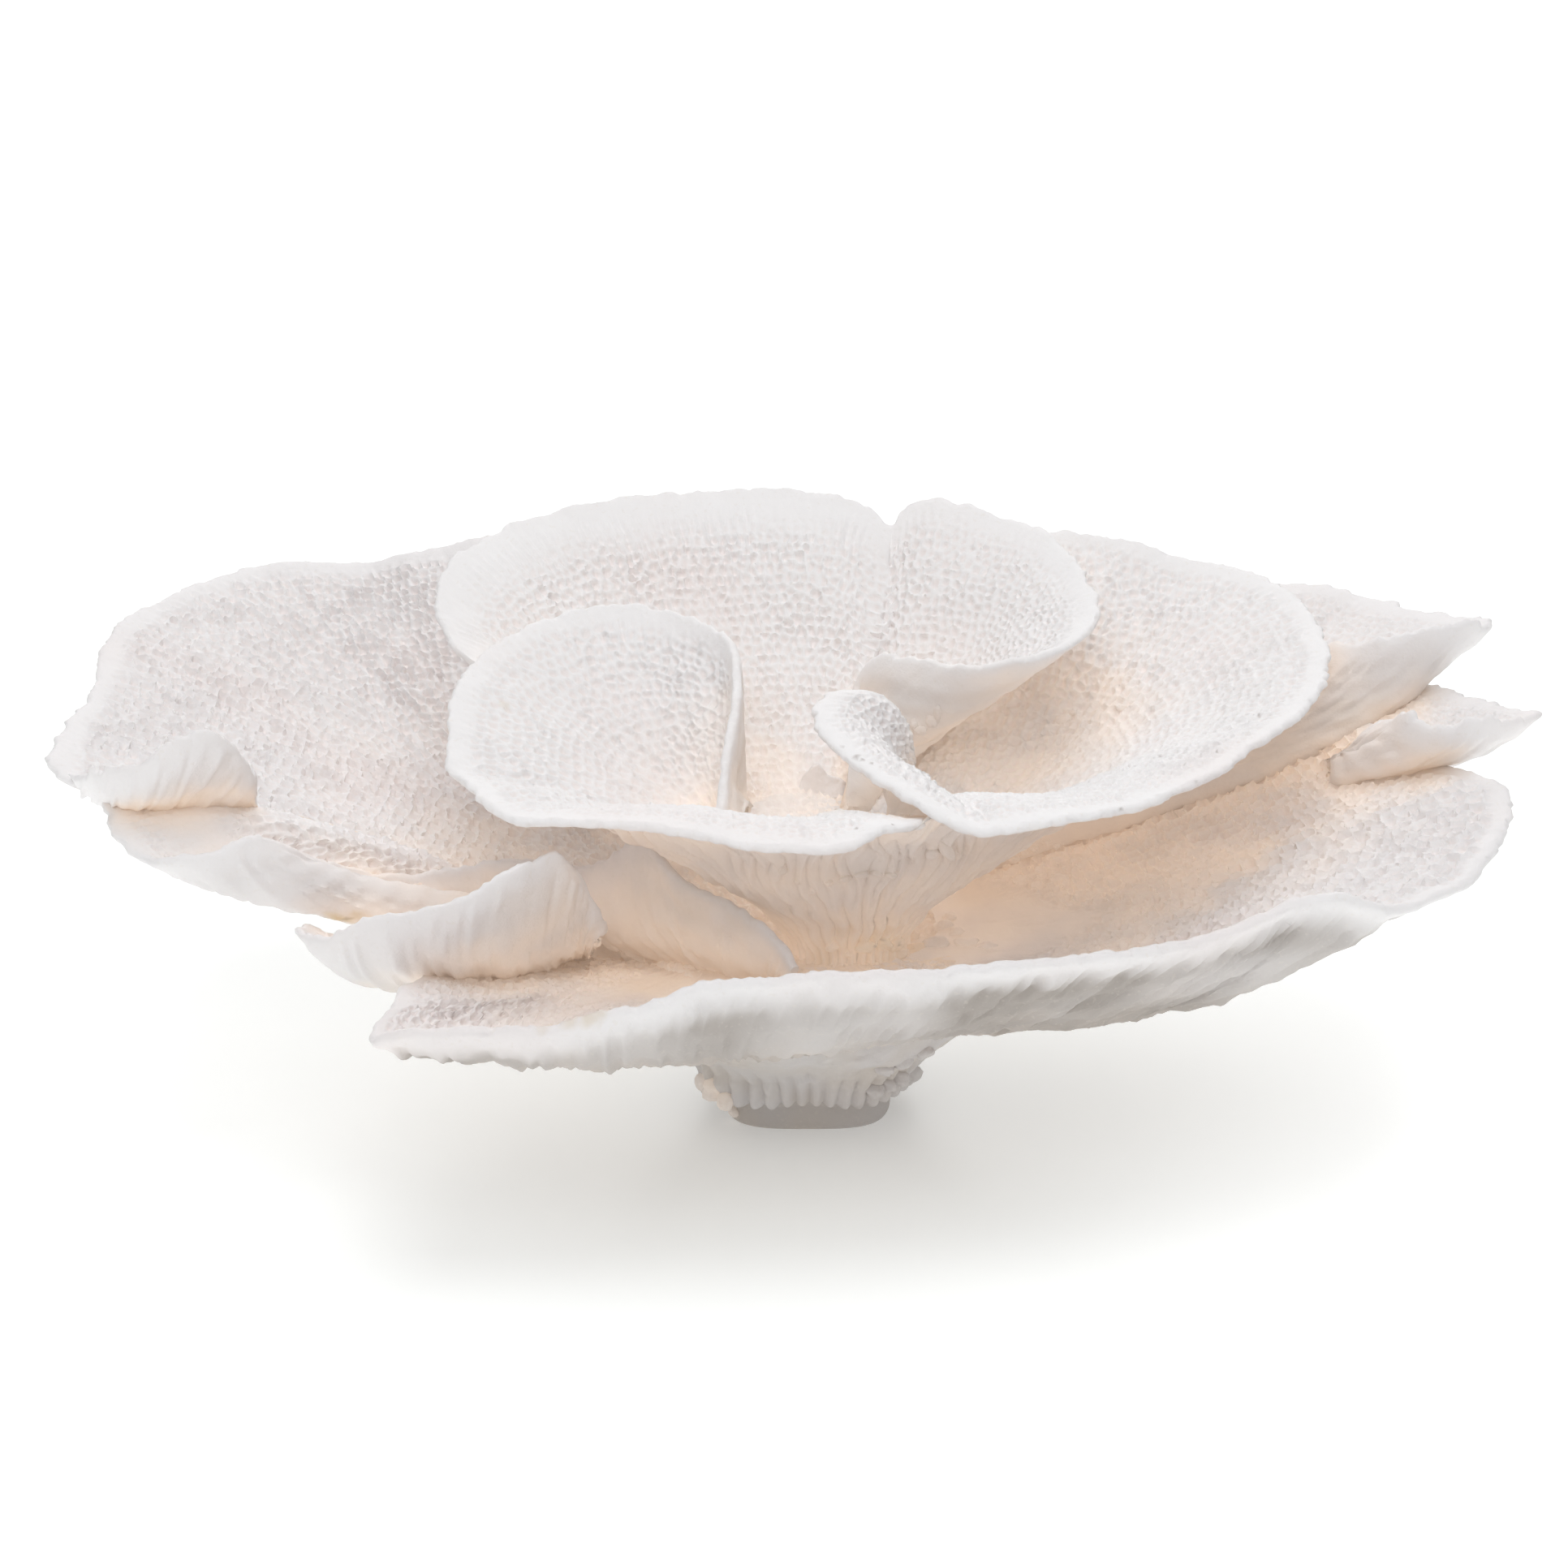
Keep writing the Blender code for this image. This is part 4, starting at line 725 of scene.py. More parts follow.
def build(name, spec, tree, stuff):
    look = dict(BASE, **LOOK.get(name, {}))
    frond = Frond(spec)
    seed = look["seed"]
    sample_u, sample_v = np.meshgrid(np.linspace(0, 1, 121), np.linspace(0, 1, 61), indexing="ij")
    sample = frond.top(sample_u, sample_v)
    rib_runs = np.concatenate([np.zeros((121, 1)), np.cumsum(np.linalg.norm(np.diff(sample, axis=1), axis=-1), axis=1)], 1)
    rib = rib_runs[:, -1]
    pitch = look["pitch"]

    def left_of(u, v):
        """How far in from the margin a place is, along its rib."""
        a = np.clip(u * 120, 0, 119.999)
        b = np.clip(v * 60, 0, 59.999)
        i, j = a.astype(int), b.astype(int)
        s, t = a - i, b - j
        back = rib[:, None] - rib_runs
        return ((back[i, j] * (1 - s) + back[i + 1, j] * s) * (1 - t) + (back[i, j + 1] * (1 - s) + back[i + 1, j + 1] * s) * t)

    def lay(count, pitch_u, pitch_v):
        n_rows = max(6, int(math.ceil(np.percentile(rib, 75) / pitch_v)))
        vs = np.linspace(0, 1, n_rows + 1)
        counts = rows_of(frond, vs, count, pitch_u)
        starts = np.concatenate([[0], np.cumsum(np.array(counts) + 1)])
        u = np.concatenate([np.linspace(0, 1, n + 1) for n in counts])
        v = np.concatenate([np.full(n + 1, at_v) for n, at_v in zip(counts, vs)])
        return vs, counts, starts, u, v

    columns = max(16, int(round(frond.length / pitch / 16)) * 16)
    vs, counts, starts, u, v = lay(columns, pitch, pitch * 1.04)
    top = frond.top(u, v)
    out = frond.normal(u, v)
    away = left_of(u, v)
    start_s = frond.low * (whole_length := frond.length / (frond.high - frond.low))
    s = start_s + u * frond.length
    whole = Frond({key: value for key, value in spec.items() if key != "part"}) if "part" in spec else frond
    rng = np.random.default_rng(seed)
    centres = cup_centres(whole, look["across"], look["along"], look["band"], rng)
    warp = np.stack([noise(top, 2.6, seed + 20 + k) + 0.7 * noise(top, 1.3, seed + 24 + k) for k in range(3)], -1) * 0.50
    gap, near, chance = walls(top + warp, centres, seed)
    streak = noise(np.stack([s / 1.7, away / 7.5, np.full_like(s, seed * 1.7)], -1), 1.0, seed + 17)
    wall = (1 - ramp(gap, 0.02, 0.85)) * (0.84 + 0.30 * streak)
    cup = look["depth"] * (0.72 + 0.5 * chance) * (0.85 + 0.3 * noise(top, 14, seed + 3))
    edge = ramp(away + 1.6 * noise(top, 9, seed + 4), *look["band"])
    ragged = 0.20 * noise(top, 1.3, seed + 5) * wall
    pits = (wall - 0.55) * cup * (1 - 0.35 * ramp(noise(top, 4.5, seed + 16), 0.1, 0.8) * wall) + ragged
    phase = s / look["across"] * 2 * math.pi + 2.2 * noise(top, 9, seed + 6)
    ridge_zone = ramp(away, 0.5, look["band"][0] + 3) * (1 - ramp(away, look["ridge_to"] * 0.5, look["ridge_to"]))
    ridges = look["ridge"] * np.cos(phase) * ridge_zone * np.clip(0.8 + 0.9 * noise(top, 6, seed + 7), 0, 2)
    swell = look["swell"] * (0.75 * noise(top, 24, seed + 8) + 0.4 * noise(top, 11, seed + 9)) * ramp(away, -4, 14)
    rough = 0.10 * noise(top, 1.1, seed + 10) + 0.14 * noise(top, 3.1, seed + 11)
    inner = look["smooth"]
    bare = 1 - ramp(away, inner[0], inner[1]) if inner else 1.0
    if look["bend"]:
        bare = bare * (1 - 0.9 * np.exp(-((away - look["bend"][0]) / look["bend"][1]) ** 2))
    height = pits * edge * bare + ridges + rough + swell + 0.16 * streak * ramp(away, 1, 6)
    outward = frond.top(np.full_like(u, 1) * u, np.ones_like(v)) - frond.top(u, np.full_like(v, 0.985))
    outward /= np.linalg.norm(outward, axis=-1, keepdims=True) + 1e-9
    ragged_rim = look["serrate"] * (0.45 * noise(line(s), 1.2, seed + 18) + 0.75 * noise(line(s), 2.3, seed + 12) + 0.9 * noise(line(s), 5.5, seed + 13)
                                    + 0.9 * noise(line(s), 13, seed + 14))
    near_rim = np.exp(-away / 3.0)
    moved = top + out * height[:, None] + outward * (ragged_rim * near_rim)[:, None]
    lip = 0.35 * noise(line(s), 4.0, seed + 15) * near_rim
    moved = moved + out * lip[:, None]

    # the lower face
    fine_u, fine_v = look["under"]
    low_columns = columns
    while low_columns % 2 == 0 and frond.length / (low_columns // 2) <= fine_u * 1.2:
        low_columns //= 2
    vs2, counts2, starts2, u2, v2 = lay(low_columns, fine_u, fine_v)
    top2 = frond.top(u2, v2)
    out2 = frond.normal(u2, v2)
    away2 = left_of(u2, v2)
    s2 = start_s + u2 * frond.length
    thick = frond.depth(v2) * (1 + 0.10 * noise(top2, 10, seed + 30))
    if look["taper"]:
        thick = thick * (0.22 + 0.78 * ramp(np.minimum(u2, 1 - u2) * frond.length, 0, look["taper"]))
    rim_thin = 1 - 0.34 * np.exp(-away2 / 4.0)
    flat2 = np.stack([(s2 + 0.35 * away2) / 1.7, away2 / 11.0, np.full_like(s2, seed * 3.3)], -1)
    rills = look["rill"] * (1.6 * noise(flat2, 1.0, seed + 31) + 0.9 * noise(flat2, 1.8, seed + 35))
    rings = look["ring"] * np.sin(away2 * 2 * math.pi / (8.0 + 0 * s2) + 2.2 * noise(top2, 18, seed + 32))
    lumps = look["knots"] * (noise(top2, 6, seed + 33) + 0.8 * np.abs(noise(top2, 4.2, seed + 36)) * (look["knots"] > 0.4)) + 0.16 * noise(top2, 2.6, seed + 34) + look["swell"] * 0.7 * noise(top2, 24, seed + 8)
    bottom = top2 - out2 * (thick * rim_thin)[:, None] + out2 * ((rills + rings) * ramp(away2, 0.5, 6) + lumps * ramp(away2, -2, 5))[:, None]
    outward2 = frond.top(u2, np.ones_like(v2)) - frond.top(u2, np.full_like(v2, 0.985))
    outward2 /= np.linalg.norm(outward2, axis=-1, keepdims=True) + 1e-9
    ragged2 = look["serrate"] * (0.45 * noise(line(s2), 1.2, seed + 18) + 0.75 * noise(line(s2), 2.3, seed + 12) + 0.9 * noise(line(s2), 5.5, seed + 13)
                                 + 0.9 * noise(line(s2), 13, seed + 14))
    bottom = bottom + outward2 * (ragged2 * np.exp(-away2 / 3.0))[:, None]

    # the rounded margin between them
    u3 = np.linspace(0, 1, columns + 1)
    low_rim = bottom[starts2[-2]:starts2[-2] + counts2[-1] + 1]
    low_at = np.stack([np.interp(u3, np.linspace(0, 1, counts2[-1] + 1), low_rim[:, k]) for k in range(3)], -1)
    high_at = moved[starts[-2]:starts[-2] + columns + 1]
    bulge_way = outward[starts[-2]:starts[-2] + columns + 1]
    width = np.linalg.norm(high_at - low_at, axis=-1, keepdims=True)
    rows = []
    for step in (0.2, 0.5, 0.8):
        bulge = math.sin(math.pi * step) ** 0.8 * 0.34
        row = high_at * (1 - step) + low_at * step + bulge_way * width * bulge
        crumbs = 0.40 * noise(row, 1.3, seed + 40) + 0.26 * noise(row, 3.4, seed + 41)
        rows.append(row + bulge_way * crumbs[:, None])
    points = [moved, bottom, *rows]
    offset2 = len(moved)
    offset3 = offset2 + len(bottom)
    n_rim = columns + 1
    faces = [grid_faces(starts, counts)]
    faces.append(grid_faces(starts2, counts2, flip=True) + offset2)
    rim_starts = [starts[-2], offset3, offset3 + n_rim, offset3 + 2 * n_rim]
    faces.append(grid_faces(rim_starts, [columns] * 4))
    last = [(k / columns, offset3 + 2 * n_rim + k) for k in range(n_rim)]
    low = [(k / counts2[-1], offset2 + starts2[-2] + k) for k in range(counts2[-1] + 1)]
    faces.append(between(last, low))
    # the two sides and the root
    a = [(vs[j], starts[j]) for j in range(len(vs))]
    b = [(vs2[j], offset2 + starts2[j]) for j in range(len(vs2))]
    rim_side = [(1.0 + 0.1 * (k + 1), offset3 + k * n_rim) for k in range(3)]
    faces.append(between(b, a + rim_side, flip=True))
    a = [(vs[j], starts[j] + counts[j]) for j in range(len(vs))]
    b = [(vs2[j], offset2 + starts2[j] + counts2[j]) for j in range(len(vs2))]
    rim_side = [(1.0 + 0.1 * (k + 1), offset3 + k * n_rim + columns) for k in range(3)]
    faces.append(between(b, a + rim_side))
    a = [(k / counts[0], starts[0] + k) for k in range(counts[0] + 1)]
    b = [(k / counts2[0], offset2 + starts2[0] + k) for k in range(counts2[0] + 1)]
    faces.append(between(b, a))
    points = np.concatenate(points)
    faces = np.concatenate(faces)
    told(name, faces)

    above, below = lookup(frond, tree, 1), lookup(frond, tree, -1)
    # painted shade in tight creases, from short rays
    crease_shade_top = ramp(1 - lookup(frond, tree, 1, 64, 30, 16.0, 0.8)(u, v), 0.22, 0.62)
    crease_shade_low = ramp(1 - lookup(frond, tree, -1, 64, 30, 16.0, 0.8)(u2, v2), 0.22, 0.62)
    tight = look["crease_shade_share"] * np.concatenate([crease_shade_top, crease_shade_low, *[np.zeros(columns + 1)] * 3])
    # painted shade of the hollows from their openness, partly the skeleton's own tan; it also drives the painted glow
    hollow_shade_top = 1 - above(u, v)
    hollow_shade_low = 1 - below(u2, v2)
    hollow_shade_rim = (hollow_shade_top[starts[-2]:starts[-2] + n_rim] * 0.5
                + np.interp(u3, np.linspace(0, 1, counts2[-1] + 1), hollow_shade_low[starts2[-2]:starts2[-2] + counts2[-1] + 1]) * 0.5)
    fade = np.exp(-away / 5.0)
    fade2 = np.exp(-away2 / 4.0)
    shut = np.concatenate([hollow_shade_top * (1 - 0.45 * fade), hollow_shade_low * (1 - 0.4 * fade2) * 0.9, *[hollow_shade_rim * 0.5] * 3])
    # painted shade in the pit floors
    pit = np.concatenate([np.clip((0.5 - wall) * 1.7, 0, 1) * edge * bare, np.zeros(len(bottom)), *[np.zeros(n_rim)] * 3])
    zero = np.zeros(len(points))
    # painted shade: the lower face greyer away from the margin
    under = np.concatenate([zero[:len(moved)], look["underside_shade_share"] * ramp(away2, 1, 12) * np.clip(0.9 + 0.5 * noise(top2, 22, seed + 50), 0, 1.3),
                            *[zero[:n_rim]] * 3])
    # the upper face, the lower face and the margin, each in its own part of the UV square
    uv = np.concatenate([
        np.stack([0.01 + 0.98 * u, 0.01 + 0.56 * v], -1),
        np.stack([0.01 + 0.98 * u2, 0.62 + 0.36 * v2], -1),
        *[np.stack([0.01 + 0.98 * u3, np.full(n_rim, 0.57 + 0.01 * (k + 1))], -1) for k in range(3)]])
    made = piece(name + "_skin", points, faces, stuff,
                 {"shut": shut, "pit": pit, "stain": zero, "fleck": zero, "under": under, "tight": tight}, uv=uv)
    thin(made, BUDGET[name])
    if "part" in spec:
        crisp(made)
    return made


# ---------------------------------------------------------------------------------------------------------------------

SKIN_DEEP = 0.0
# the strength of the painted glow in shut-in places
PAINTED_GLOW = 0.16
# the grey of the painted shade on lower faces
UNDERSIDE_SHADE = (0.445, 0.405, 0.375)
WHITE = (0.904, 0.884, 0.887)
# the painted shade of the hollows, partly the skeleton's own tan
HOLLOW_SHADE_TAN = (0.925, 0.765, 0.62)
# the colour of the painted shade in pit floors
PAINTED_PIT_SHADE = (0.86, 0.77, 0.74)
upper_stuff = coral_stuff("upper_coral", (0.925, 0.909, 0.911), HOLLOW_SHADE_TAN, 0.78)
lower_stuff = coral_stuff("lower_coral", WHITE, HOLLOW_SHADE_TAN, 0.80)

FRONDS_MADE = {name: Frond(spec) for name, spec in FRONDS.items()}
TREE = forest(FRONDS_MADE.values())
for name, spec in FRONDS.items():
    made = build(name, spec, TREE, upper_stuff if name.startswith("upper") else lower_stuff)
    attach(made, "root")
    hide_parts(name)



def turned(name, centre, profile, around, wobble, stuff, fields, skip_top=False):
    """A turned body whose radius and height a function changes: profile is (radius, height), up one side and in."""
    path = np.array(profile, float)
    n = len(path)
    angle = np.arange(around) * 2 * math.pi / around
    rows = []
    for k in range(n):
        r, z = wobble(angle, path[k, 0], path[k, 1], k / (n - 1))
        rows.append(np.stack([centre[0] + r * np.cos(angle), centre[1] + r * np.sin(angle), z], -1))
    points = np.concatenate(rows + [np.array([[centre[0], centre[1], rows[0][:, 2].mean()]]),
                                    np.array([[centre[0], centre[1], rows[-1][:, 2].mean()]])])
    faces = []
    k = np.arange(around)
    after = (k + 1) % around
    for j in range(n - 1):
        a, b = j * around, (j + 1) * around
        faces += [np.stack([a + k, a + after, b + after], 1), np.stack([a + k, b + after, b + k], 1)]
    low, high = n * around, n * around + 1
    faces.append(np.stack([np.full(around, low), after, k], 1))
    faces.append(np.stack([np.full(around, high), (n - 1) * around + k, (n - 1) * around + after], 1))
    faces = np.concatenate(faces)
    told(name, faces)
    uv = np.concatenate([np.stack([0.01 + 0.98 * k / around, np.full(around, 0.01 + 0.98 * j / (n - 1))], -1) for j in range(n)]
                        + [np.array([[0.5, 0.0]]), np.array([[0.5, 1.0]])])
    return piece(name, points, faces, stuff, fields(points), uv=uv)


def smooth_path(profile, step):
    """The same profile with a point every step millimetres, its corners rounded."""
    path = np.array(profile, float)
    run = np.concatenate([[0], np.cumsum(np.linalg.norm(np.diff(path, axis=0), axis=1))])
    at_run = np.linspace(0, run[-1], int(run[-1] / step) + 2)
    out = np.stack([spread(at_run, run, path[:, k]) for k in range(2)], -1)
    return out


def plain_fields(shut, stain=0.0):
    return lambda points: {"shut": np.full(len(points), shut), "pit": np.zeros(len(points)),
                           "stain": np.full(len(points), stain), "fleck": np.zeros(len(points)), "under": np.zeros(len(points))}


# How low the upper cup's underside lies at each place, so the funnel can run out into it
CELL = 1.5
GRID_AT = np.array([-110.0, -95.0])


def undersides():
    low = np.full((180, 150), np.inf)
    for name, frond in FRONDS_MADE.items():
        if name.startswith("upper"):
            u, v = np.meshgrid(np.linspace(0, 1, 401), np.linspace(0.02, 1, 161), indexing="ij")
            p = (frond.top(u, v) - frond.normal(u, v) * frond.depth(v)[..., None]).reshape(-1, 3)
            i = ((p[:, :2] - GRID_AT) / CELL).astype(int)
            np.minimum.at(low, (i[:, 0].clip(0, 179), i[:, 1].clip(0, 149)), p[:, 2])
    for _ in range(40):
        hole = ~np.isfinite(low)
        if not hole.any():
            break
        padded = np.pad(low, 1, mode="edge")
        around = np.stack([padded[:-2, 1:-1], padded[2:, 1:-1], padded[1:-1, :-2], padded[1:-1, 2:]])
        some = np.isfinite(around)
        mean = np.where(some, around, 0).sum(0) / np.maximum(some.sum(0), 1)
        low = np.where(hole & some.any(0), mean, low)
    low[~np.isfinite(low)] = 90.0
    for _ in range(3):
        padded = np.pad(low, 1, mode="edge")
        low = (padded[1:-1, 1:-1] * 2 + padded[:-2, 1:-1] + padded[2:, 1:-1] + padded[1:-1, :-2] + padded[1:-1, 2:]) / 6
    return low


LOW = undersides()


def ceiling(x, y):
    a = np.clip((x - GRID_AT[0]) / CELL - 0.5, 0, 178.99)
    b = np.clip((y - GRID_AT[1]) / CELL - 0.5, 0, 148.99)
    i, j = a.astype(int), b.astype(int)
    s, t = a - i, b - j
    return ((LOW[i, j] * (1 - s) + LOW[i + 1, j] * s) * (1 - t) + (LOW[i, j + 1] * (1 - s) + LOW[i + 1, j + 1] * s) * t)


# The funnel: flutes that gather at its foot and run out under the cup, with worn nodules between them
def funnel(angle, r, z, share):
    place = np.stack([np.cos(angle) * r, np.sin(angle) * r, np.full_like(angle, z)], -1)
    drift = angle + 0.10 * noise(place, 9, 60)
    up = max(z - 44, 0)
    flute = np.abs(np.cos(drift * 19 + 0.9 * noise(place, 16, 61))) ** 0.7
    fine = np.abs(np.cos(drift * 38 + 1.4 * noise(place, 12, 66))) ** 0.8
    spread_out = float(ramp(np.array(r), 26, 44))
    flute = (flute - 0.55) * (2.2 + 0.03 * up) * (1 - 0.55 * spread_out) + (fine - 0.5) * 3.3 * spread_out
    lumps = 0.7 * noise(place, 4.2, 62) + 0.4 * noise(place, 2.1, 63)
    upper = share > TURN_AT
    if upper:
        r = r * (1 - 0.17 * float(ramp(np.array(r), 30, 60)) * np.clip(-np.sin(angle), 0, 1) ** 2)
        x, y = STEM_AT[0] + r * np.cos(angle), STEM_AT[1] + r * np.sin(angle)
        share_out = ramp(r, 22, 50)
        high = z * (1 - share_out) + (ceiling(x, y) + 1.9) * share_out
        return r, np.where(r > 30, np.minimum(high, ceiling(x, y) + 2.2), high)
    left = 0.5 - 0.5 * np.cos(angle)
    out = r * (1 + 0.003 * up * left) * (1 - 0.17 * float(ramp(np.array(r), 30, 60)) * np.clip(-np.sin(angle), 0, 1) ** 2)
    x, y = STEM_AT[0] + out * np.cos(angle), STEM_AT[1] + out * np.sin(angle)
    roof = ceiling(x, y)
    meet = float(ramp(np.array(r), 26, 64))
    high = z + 0.3 * noise(place, 3, 64)
    high = high * (1 - meet) + (roof + 0.9) * meet
    sunk = float(ramp(np.array(r), 24, 40))
    fade = float(1 - ramp(np.array(r), 58, 66))
    high = np.minimum(high, roof + 0.9) - (flute + lumps + 0.5) * sunk * fade
    return out + (flute + lumps) * (1 - sunk), high


OUTER = [(17.5, 41), (15.5, 45), (15.6, 49), (18.6, 54), (23.8, 60), (30.5, 66), (38, 71.5), (46, 76.5), (54, 81), (61, 85), (67, 88)]
FUNNEL = OUTER + [(60, 87), (50, 84), (40, 80), (28, 76), (14, 75)]
PATH = smooth_path(FUNNEL, 0.9)
TURN_AT = (int(np.argmax(PATH[:, 0])) + 0.5) / (len(PATH) - 1)
# the stem: painted tan shade and painted glow, more of them lower down; painted shade where the funnel runs under the
# cup
stem = turned("stem_skin", STEM_AT, PATH, 560, funnel, upper_stuff,
              lambda p: {"shut": np.clip(0.66 - 0.004 * (p[:, 2] - 44), 0, 1), "pit": np.zeros(len(p)),
                         "stain": 0.34 * np.exp(-np.maximum(p[:, 2] - 44, 0) / 7.0) * np.clip(0.6 + noise(p, 5, 70), 0, 1),
                         "fleck": np.zeros(len(p)), "under": np.zeros(len(p)),
                         "tight": 0.35 * ramp(88 - p[:, 2], 0, 6) * ramp(p[:, 2], 74, 86)})
thin(stem, 56000)
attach(stem, "root")
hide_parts("upper_stem")


def disc(name, centre, radius, base, pitch, depth, seed, stuff, shut, budget):
    """A round floor with cups over it: base(r) is its height. It closes the middle that the fronds grow out from."""
    rings = int(radius / pitch)
    rows = [np.array([[centre[0], centre[1], 0.0]])]
    counts = [1]
    around = max(24, int(2 * math.pi * radius / pitch / 8) * 8)
    for k in range(1, rings + 1):
        r = radius * k / rings
        a = np.arange(around) * 2 * math.pi / around
        rows.append(np.stack([centre[0] + r * np.cos(a), centre[1] + r * np.sin(a), np.zeros(around)], -1))
    points = np.concatenate(rows)
    r = np.hypot(points[:, 0] - centre[0], points[:, 1] - centre[1])
    points[:, 2] = base(r) + 0.9 * noise(points, 13, seed) + 0.5 * noise(points, 6, seed + 1)
    cups = []
    made = np.random.default_rng(seed)
    for k in range(6000):
        q = made.uniform(-radius, radius, 2)
        if np.hypot(*q) < radius and all((q[0] - o[0]) ** 2 + (q[1] - o[1]) ** 2 > 2.35 ** 2 for o in cups):
            cups.append(tuple(q))
    cups = np.array([(centre[0] + x, centre[1] + y, 0.0) for x, y in cups])
    flat = points.copy()
    flat[:, 2] = 0
    warp = np.stack([noise(flat, 2.4, seed + 3), noise(flat, 2.4, seed + 4), np.zeros(len(flat))], -1) * 0.5
    gap, near, chance = walls(flat + warp, cups, seed)
    wall = 1 - ramp(gap, 0.05, 0.95)
    points[:, 2] += (wall - 0.6) * depth + 0.2 * noise(points, 1.4, seed + 5)
    faces = []
    k = np.arange(around)
    after = (k + 1) % around
    faces.append(np.stack([np.zeros(around, int), 1 + k, 1 + after], 1))
    for j in range(rings - 1):
        a, b = 1 + j * around, 1 + (j + 1) * around
        faces += [np.stack([a + k, b + k, b + after], 1), np.stack([a + k, b + after, a + after], 1)]
    # closed below, so it is a body and not a sheet
    under = points[-around:].copy()
    under[:, 2] -= 5
    foot = np.array([[centre[0], centre[1], points[:, 2].min() - 6]])
    start_under = len(points)
    a = start_under - around
    faces += [np.stack([a + k, start_under + k, start_under + after], 1), np.stack([a + k, start_under + after, a + after], 1)]
    faces.append(np.stack([start_under + k, np.full(around, start_under + around), start_under + after], 1))
    points = np.concatenate([points, under, foot])
    faces = np.concatenate(faces)
    told(name, faces)
    uv = np.stack([0.5 + (points[:, 0] - centre[0]) / radius * 0.49, 0.5 + (points[:, 1] - centre[1]) / radius * 0.49], -1)
    zero = np.zeros(len(points))
    pit = np.concatenate([np.clip((0.45 - wall) * 1.6, 0, 1), np.zeros(around + 1)])
    # painted shade: a fixed tan and glow over the whole floor, more on the dish than on the cup floor, darker pit
    # floors, and a crease shade
    body = piece(name, points, faces, stuff, {"shut": np.full(len(points), shut), "pit": pit, "stain": zero, "fleck": zero, "tight": zero + 0.3}, uv=uv)
    thin(body, budget)
    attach(body, "root")
    return body


dish = disc("dish_floor", HOLDFAST_AT, 47.0, lambda r: 44.6 + 0.00055 * r ** 2 - 3.5 * ramp(r, 41, 47), 0.85, 1.2, 80,
            lower_stuff, 0.75, 18000)
cup_floor = disc("cup_floor", (STEM_AT[0] - 2, STEM_AT[1]), 29.0, lambda r: 76.2 + 0.004 * r ** 2 - 3.0 * ramp(r, 24, 29), 0.75, 1.1,
                 90, upper_stuff, 0.34, 14000)


# The holdfast: the dish's thick middle from below, its lower edge drawn into lobes that hang over the sawn foot
def foot_shape(angle, r, z, share):
    place = np.stack([np.cos(angle) * max(r, 20), np.sin(angle) * max(r, 20), np.full_like(angle, z)], -1)
    square = (np.abs(np.cos(angle)) ** 3.4 + np.abs(np.sin(angle)) ** 3.4) ** (-1 / 3.4)
    low = float(1 - ramp(np.array(z), 10, 25)) if share < 0.8 else 0.0
    phase = angle * 24 + 1.3 * noise(place, 14, 100)
    lobes = np.abs(np.sin(phase)) ** 0.6
    hang = math.exp(-((z - 14.5) / 7.5) ** 2) if share < 0.8 else 0.0
    above = float(ramp(np.array(z), 8.8, 10.4)) if share < 0.8 else 0.0
    lumpy = above * (1.0 * noise(place, 7, 101) + 0.55 * noise(place, 2.8, 102) + 0.3 * noise(place, 1.4, 104))
    side = np.clip(np.cos(angle - 3.95), 0, 1) ** 3
    knobs = above * side * 3.0 * np.clip(noise(place, 4.6, 105) + 0.35, 0, 1) * math.exp(-((z - 14) / 9.0) ** 2)
    row = 0.9 * np.abs(np.sin(phase * 0.5 + 3 * noise(place, 9, 106))) * math.exp(-((z - 25) / 5.0) ** 2)
    out = r * (1 + (square - 1) * low) + (lobes - 0.4) * 2.5 * hang * above + lumpy + knobs + row
    sink = -1.9 * lobes * math.exp(-((z - 10.7) / 1.6) ** 2) + 1.2 * noise(place, 10, 103) * above * float(z < 34)
    return out, np.maximum(z + sink, 0.0 if z < 0.01 else 0.02)


FOOT = [(21.2, 0), (21.5, 0.5), (21.9, 3.0), (22.5, 8.6), (23.7, 9.4), (25.7, 9.9), (27.3, 11.3), (28.6, 14), (31.4, 17.5), (36, 21.5),
        (42, 25.5), (47.5, 29.8), (49, 34), (47, 39), (42, 42), (20, 42)]
# painted shade: the holdfast greyer overall, and more so below 9.2 mm; a little painted tan
foot = turned("holdfast_skin", HOLDFAST_AT, smooth_path(FOOT, 0.75), 340, foot_shape, lower_stuff,
              lambda p: {"shut": np.full(len(p), 0.10), "pit": np.zeros(len(p)),
                         "stain": np.clip(0.07 + 0.12 * noise(p, 9, 110), 0, 1), "fleck": np.zeros(len(p)),
                         "under": np.clip(0.38 + 0.22 * (p[:, 2] < 9.2), 0, 1)})
thin(foot, 42000)
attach(foot, "root")
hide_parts("holdfast")


# Small growths, crumbs and broken bits, each set on the surface that is seen at its place
def seat(col, row):
    """The point, the normal and the object seen at this place, in millimetres."""
    way = Vector(np.array(at(col, row, 0.0)) - EYE).normalized()
    hit, place, normal, _, found, _ = bpy.context.scene.ray_cast(bpy.context.evaluated_depsgraph_get(), Vector(EYE * 0.001), way)
    return (np.array(place) * 1000, np.array(normal), found) if hit else (None, None, None)


